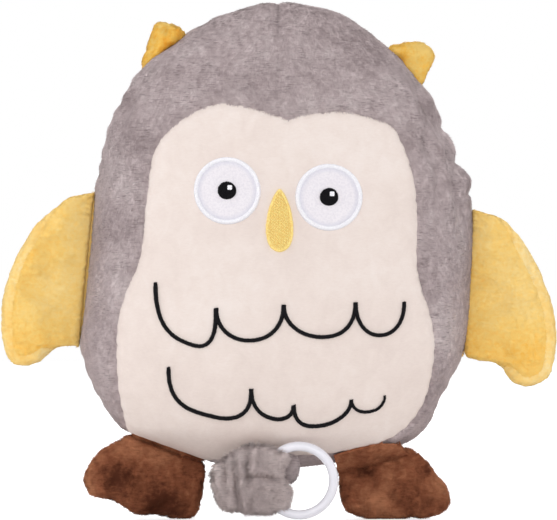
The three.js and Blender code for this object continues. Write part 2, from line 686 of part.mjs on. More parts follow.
const onCircle = (x, z, distance, degrees) => {
  const angle = THREE.MathUtils.degToRad(degrees);
  return [x + distance * Math.cos(angle), z + distance * Math.sin(angle)];
};
const pitchRadius = (teeth) => (GEAR_MODULE * teeth) / 2;
const tipRadius = (teeth) => pitchRadius(teeth) + GEAR_MODULE * ADDENDUM_SHARE;
const spoolX = -SPOOL_OFFSET;
const [cylinderX, cylinderZ] = onCircle(spoolX, SPOOL_Z,
  pitchRadius(SPOOL_TEETH) + pitchRadius(CYLINDER_TEETH) + CENTRE_SLACK, CYLINDER_ANGLE);
const [governorX, governorZ] = onCircle(cylinderX, cylinderZ,
  pitchRadius(CYLINDER_TEETH) + pitchRadius(GOVERNOR_TEETH) + CENTRE_SLACK, GOVERNOR_ANGLE);
const movementZ = BODY_BASE + MOVEMENT_RISE;
const caseInside = SPOOL_OFFSET + tipRadius(SPOOL_TEETH) + WHEEL_CLEARANCE;
const caseRadius = caseInside + CASE_WALL;
const plateRadius = caseInside - GAP;
const innerFace = PLATE_SPAN / 2;
const outerFace = innerFace + PLATE_THICKNESS;
const halfDepth = outerFace + SEAT_GAP + SCREW_HEAD_HEIGHT + SEAT_GAP + GAP + CASE_WALL;
const gearBack = innerFace - GEAR_THICKNESS;
const gearFront = gearBack - GEAR_THICKNESS;
const windRadius = SPOOL_DRUM_RADIUS + SEAT_GAP + cordRadius;
const cordX = spoolX - windRadius;
const cordY = -CORD_FORWARD;

const movement = new THREE.Group();
movement.position.set(0, MOVEMENT_Y, movementZ);
owl.add(movement);

// An involute gear's outline; the first tooth points along a direction in radians
function gearOutline(teeth, x, z, direction) {
  const pitch = pitchRadius(teeth);
  const base = pitch * Math.cos(PRESSURE_ANGLE);
  const tip = tipRadius(teeth);
  const root = pitch - GEAR_MODULE * DEDENDUM_SHARE;
  const involute = (r) => {
    const angle = Math.acos(Math.min(base / r, 1));
    return Math.tan(angle) - angle;
  };
  const halfAt = (r) => Math.PI / (2 * teeth) - GEAR_BACKLASH / (2 * pitch)
    + involute(pitch) - involute(Math.max(r, base));
  const foot = Math.max(root, base);
  const flank = [[root, halfAt(foot) * FILLET_SHARE], [tip, halfAt(tip)]];
  const points = [];
  for (let tooth = 0; tooth < teeth; tooth += 1) {
    const middle = direction + (tooth / teeth) * Math.PI * 2;
    const polar = (r, angle) => [x + r * Math.cos(angle), z + r * Math.sin(angle)];
    for (const [r, half] of flank) points.push(polar(r, middle - half));
    for (const [r, half] of [...flank].reverse()) points.push(polar(r, middle + half));
  }
  return points;
}

// Each gear is turned so that its teeth lie in the gaps of the one before
const toCylinder = THREE.MathUtils.degToRad(CYLINDER_ANGLE);
const toGovernor = THREE.MathUtils.degToRad(GOVERNOR_ANGLE);
const toothAngle = (teeth) => (Math.PI * 2) / teeth;
const cylinderTurn = toCylinder + Math.PI + toothAngle(CYLINDER_TEETH) / 2;
const carried = (toGovernor - cylinderTurn) * (CYLINDER_TEETH / GOVERNOR_TEETH);
const governorTurn = toGovernor + Math.PI + toothAngle(GOVERNOR_TEETH) / 2 + carried;

function gearSolid(teeth, x, z, turn, hole) {
  const holes = hole > 0 ? [circle(hole, SHAFT_SIDES, x, z)] : [];
  return toSolid(slab(gearOutline(teeth, x, z, turn), gearFront, gearBack, holes));
}
const arborHole = ARBOR_RADIUS + RUNNING_GAP;

// Spool: a drum that holds the mainspring, with the great wheel on its back
const spoolFront = END_PLAY - innerFace;
const flangeRadius = SPOOL_DRUM_RADIUS + SPOOL_FLANGE_DEPTH;
const drumInside = SPOOL_DRUM_RADIUS - SPOOL_WALL;
const drum = turnedY([
  [arborHole, gearFront - SPOOL_WALL], [drumInside, gearFront - SPOOL_WALL],
  [drumInside, spoolFront], [flangeRadius, spoolFront],
  [flangeRadius, spoolFront + SPOOL_FLANGE], [SPOOL_DRUM_RADIUS, spoolFront + SPOOL_FLANGE],
  [SPOOL_DRUM_RADIUS, gearFront + GEAR_THICKNESS / 2], [arborHole, gearFront + GEAR_THICKNESS / 2],
  [arborHole, gearFront - SPOOL_WALL],
], spoolX, SPOOL_Z);
add('cord_spool', toSolid(drum).add(
  gearSolid(SPOOL_TEETH, spoolX, SPOOL_Z, toCylinder, arborHole)), brass(), movement);

// Cord wound on the drum, one turn beside the other
const windInside = windRadius - cordRadius;
const windFront = cordY - cordRadius * WOUND_TURNS;
const windProfile = [[windInside, windFront]];
for (let turn = 0; turn < WOUND_TURNS; turn += 1) {
  const start = windFront + turn * CORD_DIAMETER;
  windProfile.push([windRadius, start], [windRadius + cordRadius, start + cordRadius]);
}
windProfile.push([windRadius, windFront + WOUND_TURNS * CORD_DIAMETER]);
windProfile.push([windInside, windFront + WOUND_TURNS * CORD_DIAMETER], [windInside, windFront]);
add('wound_cord', turnedY(windProfile, spoolX, SPOOL_Z), cordWhite(), movement);

// Mainspring: a flat strip coiled between the arbor and the drum
function spiralStrip() {
  const inner = ARBOR_RADIUS + GAP;
  const outer = drumInside - GAP - SPRING_STRIP;
  const steps = SPRING_TURNS * SPRING_STEPS_PER_TURN;
  const side = (offset) => Array.from({ length: steps + 1 }, (_, i) => {
    const angle = (i / SPRING_STEPS_PER_TURN) * Math.PI * 2;
    const r = inner + ((outer - inner) * i) / steps + offset;
    return [spoolX + r * Math.cos(angle), SPOOL_Z + r * Math.sin(angle)];
  });
  return [...side(0), ...side(SPRING_STRIP).reverse()];
}
const springFront = spoolFront + SPOOL_FLANGE;
add('mainspring', slab(spiralStrip(), springFront, springFront + SPRING_WIDTH), steel(), movement);
add('spool_arbor', rodY(ARBOR_RADIUS, -outerFace, outerFace, spoolX, SPOOL_Z), steel(), movement);

// Pinned cylinder: each row of pins passes one tooth of the comb
const cylinderFront = END_PLAY * 2 - innerFace;
const rowPitch = (gearFront - cylinderFront) / (PIN_ROWS + 1);
const rowY = (row) => cylinderFront + rowPitch * (row + 1);
function pinnedCylinder() {
  const barrel = toSolid(slab(circle(CYLINDER_RADIUS, CYLINDER_SIDES, cylinderX, cylinderZ),
    cylinderFront, gearFront + GEAR_THICKNESS / 2,
    [circle(arborHole, SHAFT_SIDES, cylinderX, cylinderZ)]));
  let solid = barrel.add(gearSolid(CYLINDER_TEETH, cylinderX, cylinderZ, cylinderTurn, arborHole));
  for (let row = 0; row < PIN_ROWS; row += 1) {
    for (let k = 0; k < PINS_PER_ROW; k += 1) {
      const turn = (row * PIN_STEP_SHARE + k / PINS_PER_ROW) * Math.PI * 2;
      const pin = new THREE.BoxGeometry(PIN_HEIGHT * 2, PIN_WIDTH, PIN_WIDTH);
      pin.translate(CYLINDER_RADIUS, rowY(row), 0).rotateY(turn).translate(cylinderX, 0, cylinderZ);
      solid = solid.add(toSolid(pin));
    }
  }
  return solid;
}
add('pinned_cylinder', pinnedCylinder(), brass(), movement);
add('cylinder_arbor', rodY(ARBOR_RADIUS, -outerFace, outerFace, cylinderX, cylinderZ), steel(), movement);

// Governor: a pinion and an air brake on one arbor
const fan = block(
  [governorX - FAN_RADIUS, gearFront - GAP - FAN_LENGTH, governorZ - FAN_THICKNESS / 2],
  [governorX + FAN_RADIUS, gearFront - GAP, governorZ + FAN_THICKNESS / 2],
);
const governorArbor = toSolid(rodY(GOVERNOR_ARBOR_RADIUS, -outerFace, outerFace, governorX, governorZ));
add('governor', governorArbor.add(fan).add(
  gearSolid(GOVERNOR_TEETH, governorX, governorZ, governorTurn, 0)), brass(), movement);

// Tone comb, clamped on its block; its teeth point at the cylinder's axis
const combRight = cylinderX + COMB_THICKNESS / 2;
const combLeft = combRight - COMB_THICKNESS;
const combTop = cylinderZ - CYLINDER_RADIUS - PIN_HEIGHT - GAP;
const combBase = combTop - COMB_LENGTH;
const heelTop = combBase + COMB_HEEL;
const combScrewYs = [rowY(1), rowY(PIN_ROWS - 2)];
const combScrewZ = combBase + COMB_HEEL / 2;

function combOutline() {
  const half = (rowPitch - TOOTH_GAP) / 2;
  const [front, back] = [rowY(0) - half, rowY(PIN_ROWS - 1) + half];
  const points = [[front, combBase], [back, combBase]];
  for (let row = PIN_ROWS - 1; row >= 0; row -= 1) {
    points.push([rowY(row) + half, heelTop], [rowY(row) + half, combTop]);
    points.push([rowY(row) - half, combTop], [rowY(row) - half, heelTop]);
  }
  // the outermost tooth sides run straight into the heel
  points.splice(2, 1);
  points.pop();
  return points;
}

// A flat outline in the side view, given as y and z, made solid between two x
function slabX(points, left, right, holes = []) {
  const shape = new THREE.Shape(points.map(([y, z]) => new THREE.Vector2(y, z)));
  for (const hole of holes) {
    shape.holes.push(new THREE.Path(hole.map(([y, z]) => new THREE.Vector2(y, z))));
  }
  const geometry = new THREE.ExtrudeGeometry(shape, { depth: right - left, bevelEnabled: false });
  const turn = new THREE.Matrix4().makeBasis(
    new THREE.Vector3(0, 1, 0), new THREE.Vector3(0, 0, 1), new THREE.Vector3(1, 0, 0));
  return geometry.applyMatrix4(turn).translate(left, 0, 0);
}

const screwHoles = combScrewYs.map((y) => circle(SCREW_RADIUS + RUNNING_GAP, SCREW_SIDES, y, combScrewZ));
add('tone_comb', slabX(combOutline(), combLeft, combRight, screwHoles), steel(), movement);
const blockRight = combLeft - SEAT_GAP;
const blockOutline = [
  [-innerFace + SEAT_GAP, combBase], [innerFace - SEAT_GAP, combBase],
  [innerFace - SEAT_GAP, heelTop], [-innerFace + SEAT_GAP, heelTop],
];
add('comb_block', slabX(blockOutline, blockRight - COMB_BLOCK_WIDTH, blockRight, screwHoles), steel(),
  movement);

// A screw whose shank runs in the direction of +Y from its head's seat
function screw(headRadius, length) {
  return turnedY([
    [0, -SCREW_HEAD_HEIGHT], [headRadius, -SCREW_HEAD_HEIGHT], [headRadius, 0], [SCREW_RADIUS, 0],
    [SCREW_RADIUS, length], [0, length],
  ], 0, 0, SCREW_SIDES);
}
combScrewYs.forEach((y, i) => {
  const geometry = screw(COMB_SCREW_HEAD_RADIUS, COMB_THICKNESS + COMB_BLOCK_WIDTH / 2);
  geometry.rotateZ(Math.PI / 2).translate(combRight + SEAT_GAP, y, combScrewZ);
  add(`comb_screw_${i + 1}`, geometry, steel(), movement);
});

// Two plates, three pillars between them and a screw in the front of each pillar
const pillarPlaces = PILLAR_ANGLES.map((degrees) => onCircle(0, 0, plateRadius - PILLAR_MARGIN, degrees));
pillarPlaces.forEach(([x, z], i) => {
  const front = -innerFace + SEAT_GAP;
  const back = innerFace - SEAT_GAP;
  const bore = SCREW_RADIUS + RUNNING_GAP;
  add(`frame_pillar_${i + 1}`, turnedY([
    [0, back], [PILLAR_RADIUS, back], [PILLAR_RADIUS, front], [bore, front],
    [bore, front + SCREW_LENGTH], [0, front + SCREW_LENGTH],
  ], x, z, SCREW_SIDES), brass(), movement);
  const geometry = screw(SCREW_HEAD_RADIUS, SCREW_LENGTH);
  geometry.translate(x, -outerFace - SEAT_GAP, z);
  add(`frame_screw_${i + 1}`, geometry, steel(), movement);
});
const arborHoles = [
  circle(arborHole, SHAFT_SIDES, spoolX, SPOOL_Z),
  circle(arborHole, SHAFT_SIDES, cylinderX, cylinderZ),
  circle(GOVERNOR_ARBOR_RADIUS + RUNNING_GAP, SHAFT_SIDES, governorX, governorZ),
];
const frameHoles = pillarPlaces.map(([x, z]) => circle(SCREW_RADIUS + RUNNING_GAP, SCREW_SIDES, x, z));
const plateOutline = circle(plateRadius, CASE_SECTORS);
add('front_plate', slab(plateOutline, -outerFace, -innerFace, [...arborHoles, ...frameHoles]),
  brass(), movement);
add('back_plate', slab(plateOutline, innerFace, outerFace, arborHoles), brass(), movement);

// Case: two plastic cups that meet in the middle, with a hole where the cord leaves
const cup = (side) => toSolid(turnedY([
  [0, side * halfDepth], [caseRadius, side * halfDepth], [caseRadius, (side * GAP) / 2],
  [caseInside, (side * GAP) / 2], [caseInside, side * (halfDepth - CASE_WALL)],
  [0, side * (halfDepth - CASE_WALL)],
], 0, 0, CASE_SECTORS));
const cordHole = toSolid(new THREE.CylinderGeometry(boreRadius, boreRadius, caseRadius, SCREW_SIDES)
  .rotateX(Math.PI / 2).translate(cordX, cordY, -caseRadius / 2 - cordRadius * 2));
add('case_front', cup(-1).subtract(cordHole), casePlastic(), movement);
add('case_back', cup(1), casePlastic(), movement);

// Cord guide: a plastic tube through the filling, from the case to the eyelet

const guideTop = movementZ - Math.sqrt(caseRadius ** 2 - (Math.abs(cordX) - guideRadius) ** 2) - GAP;
const cordClear = Math.sqrt((windRadius + CORD_DIAMETER + GAP) ** 2 - windRadius ** 2);
const drop = movementZ - eyelet.z;
const lean = eyelet.y - MOVEMENT_Y - cordY;

// The cord leaves the drum at a tangent, drops straight, leans forward and ends at the eyelet's mouth
const cordRoute = new THREE.CatmullRomCurve3([
  new THREE.Vector3(cordX, MOVEMENT_Y + cordY, movementZ + SPOOL_Z - cordClear),
  new THREE.Vector3(cordX, MOVEMENT_Y + cordY, guideTop),
  new THREE.Vector3(cordX, MOVEMENT_Y + cordY, guideTop - drop * GUIDE_SHARES[0]),
  new THREE.Vector3(
    cordX + (eyelet.x - cordX) / 2,
    MOVEMENT_Y + cordY + lean * GUIDE_SHARES[1],
    eyelet.z + drop * GUIDE_SHARES[1],
  ),
  fromEyelet(-EYELET_BARREL_LENGTH * GUIDE_SHARES[2]),
  fromEyelet(-EYELET_BARREL_LENGTH - GAP),
  fromEyelet(flangeTop),
]);

// A stretch of a curve between two shares of its length
class Stretch extends THREE.Curve {
  constructor(curve, from, to) {
    super();
    Object.assign(this, { curve, from, to });
  }

  getPoint(t, target = new THREE.Vector3()) {
    return this.curve.getPointAt(this.from + (this.to - this.from) * t, target);
  }
}

// How far along a curve the nearest place to a point lies, as a share of its length
function shareOf(curve, point) {
  const places = curve.getSpacedPoints(ROUTE_SAMPLES);
  const distances = places.map((place) => place.distanceTo(point));
  return distances.indexOf(Math.min(...distances)) / ROUTE_SAMPLES;
}

function tube(curve, radius, steps, sides, bore = 0) {
  const section = new THREE.Shape(circle(radius, sides).map(([x, y]) => new THREE.Vector2(x, y)));
  if (bore > 0) {
    section.holes.push(new THREE.Path(circle(bore, sides).map(([x, y]) => new THREE.Vector2(x, y))));
  }
  return new THREE.ExtrudeGeometry(section, { extrudePath: curve, steps, bevelEnabled: false });
}

const guideFrom = shareOf(cordRoute, new THREE.Vector3(cordX, MOVEMENT_Y + cordY, guideTop));
const guideTo = shareOf(cordRoute, fromEyelet(-EYELET_BARREL_LENGTH - GAP * 2));
add('cord_guide_tube', tube(new Stretch(cordRoute, guideFrom, guideTo), guideRadius, CORD_GUIDE_STEPS,
  CORD_SIDES, boreRadius), casePlastic());
const channelTo = shareOf(cordRoute, fromEyelet(-EYELET_BARREL_LENGTH / 2));
const guideChannel = toSolid(tube(new Stretch(cordRoute, guideFrom / 2, channelTo),
  guideRadius + GAP * 3, CORD_GUIDE_STEPS, CORD_SIDES));
add('pull_cord', tube(cordRoute, cordRadius, CORD_STEPS, CORD_SIDES), cordWhite());
const cordMouth = fromEyelet(flangeTop);

// Pull ring, its plush tab and the knot that holds the cord in the tab

const barRadius = RING_BAR / 2;
const ringRadius = RING_DIAMETER / 2 - barRadius;
const tabLeft = EYELET_X - TAB_REACH;
const pullY = eyelet.y - TAB_STANDOFF;
const ringX = tabLeft + TAB_WIDTH + RING_LEAD;
const ringZ = RING_DIAMETER / 2 + RING_LIFT;
const ringForm = (radius) => new THREE.TorusGeometry(ringRadius, radius, RING_SIDES, RING_STEPS)
  .rotateX(Math.PI / 2).translate(ringX, pullY, ringZ);
add('pull_ring', toSolid(ringForm(barRadius)), whitePlastic());

// The tab's outline: shares of its width from the left and of its height from below
const tabShares = [
  [0, 0.456], [0.02, 0.625], [0.154, 0.814], [0.3, 0.925], [0.433, 1], [0.645, 0.994],
  [0.822, 0.952], [0.984, 0.87], [0.92, 0.582], [0.99, 0.4], [1, 0.206], [0.97, 0.07],
  [0.822, 0.03], [0.656, 0], [0.489, 0.007], [0.211, 0.042], [0.1, 0.11], [0.035, 0.28],
];
const tabRingShares = [0.93, 0.6];
const tabBase = ringZ - TAB_DROP;
const tabBody = toSolid(padForm({
  outline: tabShares.map(([across, up]) => [tabLeft + across * TAB_WIDTH, tabBase + up * TAB_HEIGHT]),
  y: pullY,
  thickness: TAB_THICKNESS,
  power: TAB_CROWN_POWER,
  ringShares: tabRingShares,
}));
const knot = new THREE.Vector3(eyelet.x, pullY, ringZ + KNOT_RADIUS);
const tailStart = cordMouth.clone().lerp(knot, TAIL_GAP_SHARE);
const tailForm = (extra) => toSolid(tube(new THREE.LineCurve3(tailStart, knot), cordRadius + extra,
  1, CORD_SIDES)).add(toSolid(new THREE.SphereGeometry(KNOT_RADIUS + extra, SCREW_SIDES, CORD_SIDES)
  .translate(knot.x, knot.y, knot.z)));
add('cord_end_knot', tailForm(0), cordWhite());
add('pull_tab', tabBody.subtract(toSolid(ringForm(barRadius + GAP))).subtract(tailForm(GAP)),
  greyPlush());

// Body: the filling, and the covers over it cut at their seams

const pocket = toSolid(slab(circle(caseRadius + GAP, CASE_SECTORS, 0, movementZ),
  MOVEMENT_Y - halfDepth - GAP, MOVEMENT_Y + halfDepth + GAP));
add('body_filling', toSolid(bodyForm(COVER_THICKNESS + GAP)).subtract(pocket)
  .subtract(guideChannel).subtract(eyeletHole), stuffing());

const shell = toSolid(bodyForm(0)).subtract(toSolid(bodyForm(COVER_THICKNESS))).subtract(eyeletHole);
const [far, deep, tall] = [BODY_WIDTH, BODY_DEPTH, BODY_HEIGHT + BODY_BASE + OVERRUN];
const frontHalf = block([-far, -deep, -OVERRUN], [far, -GAP / 2, tall]);
const backHalf = block([-far, GAP / 2, -OVERRUN], [far, deep, tall]);
const leftHalf = block([-far, -deep, -OVERRUN], [-GAP / 2, deep, tall]);
const rightHalf = block([GAP / 2, -deep, -OVERRUN], [far, deep, tall]);
const panelPrism = (distance) => toSolid(slab(grown(creamOutline, distance), -deep, 0));
const greyFront = shell.intersect(frontHalf).subtract(panelPrism(GAP / 2));
add('left_front_cover', greyFront.intersect(leftHalf), greyPlush());
add('right_front_cover', greyFront.intersect(rightHalf), greyPlush());
add('back_cover', shell.intersect(backHalf), greyPlush());
add('cream_panel', shell.intersect(frontHalf).intersect(panelPrism(-GAP / 2)), creamPlush());

// Face and embroidery: thin pieces that follow the front of the body

// A thin patch on the body's front, whose back stands off the cover
function patch(outline, standoff, thickness) {
  const middle = [
    outline.reduce((sum, p) => sum + p[0], 0) / outline.length,
    outline.reduce((sum, p) => sum + p[1], 0) / outline.length,
  ];
  const ring = (share, off) => outline.map((p) => {
    const x = middle[0] + (p[0] - middle[0]) * share;
    const z = middle[1] + (p[1] - middle[1]) * share;
    return [x, frontOf(x, z) - off, z];
  });
  const pole = (off) => [middle[0], frontOf(...middle) - off, middle[1]];
  const top = standoff + thickness;
  return fromRings(pole(top), [
    ring(PATCH_RING_SHARE, top), ring(1, top), ring(1, standoff), ring(PATCH_RING_SHARE, standoff),
  ], pole(standoff));
}

const eyeZ = heightOf(EYE_HEIGHT_SHARE);
for (const [side, name] of [[-1, 'left'], [1, 'right']]) {
  const x = (side * EYE_SPREAD) / 2;
  const z = eyeZ - (side * EYE_DROP) / 2;
  const pupilOff = GAP + FELT_THICKNESS + GAP;
  add(`${name}_eye_white`, patch(circle(EYE_RADIUS, EYE_SIDES, x, z), GAP, FELT_THICKNESS), whiteThread());
  add(`${name}_pupil`, patch(circle(PUPIL_RADIUS, SHAFT_SIDES, x, z), pupilOff, FELT_THICKNESS),
    blackThread());
  add(`${name}_eye_glint`, patch(circle(GLINT_RADIUS, SCREW_SIDES, x + GLINT_OFFSET, z + GLINT_OFFSET),
    pupilOff + FELT_THICKNESS + GAP, STITCH_THICKNESS / 2), whiteThread());
}

// Beak: a pointed oval of satin stitch
const beakShares = [
  [0, 1], [0.45, 0.9], [0.82, 0.72], [1, 0.5], [0.92, 0.28], [0.6, 0.09], [0, 0],
];
const beakSide = (side) => beakShares.map(([across, up]) => [
  BEAK_OFFSET + (side * across * BEAK_WIDTH) / 2, eyeZ + BEAK_RISE - BEAK_HEIGHT * (1 - up)]);
add('beak', patch([...beakSide(1), ...beakSide(-1).reverse().slice(1, -1)], GAP,
  FELT_THICKNESS), yellowThread());

// Scallop lines: the ends and the peaks of each line, and how far each arc hangs below them,
// as shares of half the body's width and of its height
const upperLineShares = [[-0.624, 0.398], [-0.316, 0.345], [0.029, 0.352], [0.396, 0.357], [0.647, 0.357]];
const upperSagShares = [0.1, 0.072, 0.071, 0.07];
const lowerLineShares = [[-0.561, 0.219], [-0.137, 0.174], [0.08, 0.139], [0.375, 0.151], [0.547, 0.158]];
const lowerSagShares = [0.081, 0.046, 0.05, 0.03];

// A line of stitching: a flat ribbon that hangs in arcs between its peaks and turns there on a mitre
function addScallops(name, ends, sags) {
  const peaks = ends.map(onBody);
  const places = [peaks[0]];
  sags.forEach((sag, arc) => {
    const [from, to] = [peaks[arc], peaks[arc + 1]];
    for (let i = 1; i <= STITCH_STEPS; i += 1) {
      const t = i / STITCH_STEPS;
      const hang = sag * BODY_HEIGHT * (1 - Math.abs(2 * t - 1) ** STITCH_POWER);
      places.push([from[0] + (to[0] - from[0]) * t, from[1] + (to[1] - from[1]) * t - hang]);
    }
  });
  const normals = places.slice(1).map(([x, z], i) => {
    const length = Math.hypot(x - places[i][0], z - places[i][1]);
    return [-(z - places[i][1]) / length, (x - places[i][0]) / length];
  });
  const rings = places.map(([x, z], i) => {
    const before = normals[Math.max(i - 1, 0)];
    const after = normals[Math.min(i, normals.length - 1)];
    const [mx, mz] = [(before[0] + after[0]) / 2, (before[1] + after[1]) / 2];
    const reach = STITCH_WIDTH / 2 / (mx * mx + mz * mz);
    const corner = (side, off) => {
      const [px, pz] = [x + side * mx * reach, z + side * mz * reach];
      return [px, frontOf(px, pz) - off, pz];
    };
    const top = GAP + STITCH_THICKNESS;
    return [corner(-1, GAP), corner(1, GAP), corner(1, top), corner(-1, top)];
  });
  const centre = (ring) => [0, 1, 2].map((k) => ring.reduce((sum, p) => sum + p[k], 0) / ring.length);
  add(name, fromRings(centre(rings[0]), rings, centre(rings[rings.length - 1])), blackThread());
}
addScallops('upper_scallop_stitching', upperLineShares, upperSagShares);
addScallops('lower_scallop_stitching', lowerLineShares, lowerSagShares);

export default owl;
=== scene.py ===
"""Looks of the plush owl: covers with their pile, embroidery, ring, tab and movement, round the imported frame.

Forms are worked out in millimetres, in the frame's own axes, and become metres when a mesh is made.
"""

import math

import bpy
import numpy as np
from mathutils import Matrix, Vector, geometry


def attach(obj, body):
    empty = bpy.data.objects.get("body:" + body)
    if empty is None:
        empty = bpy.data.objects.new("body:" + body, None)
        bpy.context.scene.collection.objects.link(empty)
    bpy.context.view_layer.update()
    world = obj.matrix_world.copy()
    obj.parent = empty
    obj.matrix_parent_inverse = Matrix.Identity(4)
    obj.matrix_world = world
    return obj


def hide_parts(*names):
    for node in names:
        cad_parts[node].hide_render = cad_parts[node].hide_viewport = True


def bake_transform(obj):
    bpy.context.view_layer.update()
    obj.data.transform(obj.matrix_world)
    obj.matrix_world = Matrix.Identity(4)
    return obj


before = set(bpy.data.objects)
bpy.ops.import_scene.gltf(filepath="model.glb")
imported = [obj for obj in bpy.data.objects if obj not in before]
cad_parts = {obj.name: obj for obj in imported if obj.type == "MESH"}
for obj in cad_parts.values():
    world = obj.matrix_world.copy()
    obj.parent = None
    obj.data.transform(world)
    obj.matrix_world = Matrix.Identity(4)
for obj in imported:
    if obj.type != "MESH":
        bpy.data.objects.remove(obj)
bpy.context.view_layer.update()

MM = 0.001
TWO_PI = 2 * math.pi

# Body sizes, as in the part's source

BODY_WIDTH = 217
BODY_HEIGHT = 262
BODY_DEPTH = 126
BODY_BASE = 28.6
BACK_FLAT = 2.5           # how deep the back is pressed flat where the owl lies on it
CORNER_POWER = 2.25
COVER = 1.3               # how thick a plush cover is here
FILLING_INSET = 2.9       # the filling lies this far inside a limb cover's face
BACK_SOFT = 1.2           # how gently the back's flat begins
DEEPEST = 3.2             # no fold of the body sinks deeper, because the filling lies below

# height share, then the left and right edges as shares of half the width
BODY_OUTLINE = np.array([
    (0, 0, 0), (0.004, 0.2, 0.16), (0.015, 0.361, 0.335), (0.034, 0.495, 0.52), (0.058, 0.65, 0.68),
    (0.081, 0.79, 0.75), (0.103, 0.845, 0.79), (0.128, 0.89, 0.822), (0.154, 0.934, 0.855),
    (0.179, 0.968, 0.885), (0.214, 1, 0.925), (0.263, 1.02, 0.965), (0.316, 1.003, 0.984),
    (0.402, 0.981, 0.996), (0.487, 0.962, 1), (0.564, 0.948, 0.996), (0.615, 0.94, 0.975),
    (0.667, 0.916, 0.925), (0.718, 0.882, 0.87), (0.769, 0.828, 0.82), (0.821, 0.764, 0.743),
    (0.872, 0.662, 0.648), (0.897, 0.585, 0.578), (0.923, 0.495, 0.505), (0.949, 0.388, 0.413),
    (0.974, 0.262, 0.297), (0.991, 0.145, 0.16), (1, 0, 0),
])
# height share, then the front and back edges as shares of half the depth
BODY_PROFILE = np.array([
    (0, 0, 0), (0.008, 0.24, 0.24), (0.022, 0.41, 0.41), (0.05, 0.56, 0.57), (0.1, 0.74, 0.75),
    (0.18, 0.9, 0.9), (0.28, 0.985, 0.98), (0.38, 1, 1), (0.5, 0.975, 0.985), (0.62, 0.905, 0.93),
    (0.72, 0.82, 0.85), (0.82, 0.69, 0.72), (0.9, 0.53, 0.56), (0.95, 0.385, 0.4),
    (0.985, 0.215, 0.22), (1, 0, 0),
])
# the cream panel's outline: shares of half the body's width and of its height
PANEL = np.array([
    (0.052, 0.744), (0.11, 0.754), (0.227, 0.761), (0.345, 0.763), (0.495, 0.75), (0.59, 0.733),
    (0.64, 0.7), (0.676, 0.662), (0.707, 0.607), (0.72, 0.547), (0.72, 0.444), (0.748, 0.387),
    (0.795, 0.329), (0.815, 0.271), (0.81, 0.216), (0.774, 0.145), (0.69, 0.09), (0.57, 0.056),
    (0.42, 0.036), (0.2, 0.025), (-0.1, 0.024), (-0.35, 0.014), (-0.56, 0.043), (-0.71, 0.067),
    (-0.787, 0.082), (-0.828, 0.169), (-0.841, 0.25), (-0.828, 0.318), (-0.787, 0.38),
    (-0.712, 0.455), (-0.692, 0.541), (-0.676, 0.594), (-0.666, 0.637), (-0.635, 0.686),
    (-0.563, 0.724), (-0.454, 0.758), (-0.325, 0.778), (-0.222, 0.778), (-0.09, 0.765),
    (0.01, 0.752),
])


# Numbers and noise


def smooth_table(table, column, at):
    """A smooth value from a table, by cubic steps."""
    xs, ys = table[:, 0], table[:, column]
    last = len(xs) - 1
    i = np.clip(np.searchsorted(xs, at, side="left") - 1, 0, last - 1)
    low, high = np.maximum(np.arange(last + 1) - 1, 0), np.minimum(np.arange(last + 1) + 1, last)
    slopes = (ys[high] - ys[low]) / (xs[high] - xs[low])
    span = xs[i + 1] - xs[i]
    t = np.clip((at - xs[i]) / span, 0, 1)
    return ((2 * t**3 - 3 * t**2 + 1) * ys[i] + (t**3 - 2 * t**2 + t) * span * slopes[i]
            + (3 * t**2 - 2 * t**3) * ys[i + 1] + (t**3 - t**2) * span * slopes[i + 1])


def row_of(share):
    return np.arccos(1 - 2 * np.clip(share, 0, 1)) / math.pi


def height_share(row):
    return (1 - np.cos(math.pi * row)) / 2


def by_row(table):
    return np.column_stack([row_of(table[:, 0]), table[:, 1:]])


OUTLINE_BY_ROW = by_row(BODY_OUTLINE)
PROFILE_BY_ROW = by_row(BODY_PROFILE)
LATTICE = 64


def lumps(points, size, seed):
    """Smooth noise from -1 to 1 whose lumps are about size across; size may differ along each axis."""
    table = np.random.default_rng(seed).uniform(-1, 1, (LATTICE, LATTICE, LATTICE))
    place = np.asarray(points, float) / np.asarray(size, float)
    cell = np.floor(place).astype(int)
    t = place - cell
    t = t * t * (3 - 2 * t)
    total = np.zeros(len(place))
    for corner in np.ndindex(2, 2, 2):
        i = (cell + corner) % LATTICE
        total += np.where(corner, t, 1 - t).prod(axis=1) * table[i[:, 0], i[:, 1], i[:, 2]]
    return total


def bulged(points, bulges, relief=0):
    """A surface's relief at its points, with bulges added, each given by its height, size and seed."""
    for high, size, seed in bulges:
        relief = relief + high * lumps(points, size, seed)
    return relief


def bell(value, width=1):
    """One at zero, and fading out past the width."""
    return np.exp(-((value / width) ** 2))


def unit(vectors):
    length = np.linalg.norm(vectors, axis=-1, keepdims=True)
    return vectors / np.maximum(length, 1e-9)


def closed_curve(points, spacing):
    """A smooth closed curve through the points, with even spacing."""
    n = len(points)
    at = np.arange(0, n, 1 / 16)
    i, t = at.astype(int), at % 1
    p0, p1, p2, p3 = (points[(i + k) % n] for k in (-1, 0, 1, 2))
    t = t[:, None]
    fine = 0.5 * (2 * p1 + (p2 - p0) * t + (2 * p0 - 5 * p1 + 4 * p2 - p3) * t**2
                  + (3 * p1 - p0 - 3 * p2 + p3) * t**3)
    return evenly(np.vstack([fine, fine[:1]]), spacing)[:-1]


def evenly(points, spacing):
    """Points at even steps along a line."""
    steps = np.linalg.norm(np.diff(points, axis=0), axis=1)
    far = np.concatenate([[0], np.cumsum(steps)])
    count = max(int(round(far[-1] / spacing)), 1)
    at = np.linspace(0, far[-1], count + 1)
    return np.column_stack([np.interp(at, far, points[:, k]) for k in range(points.shape[1])])


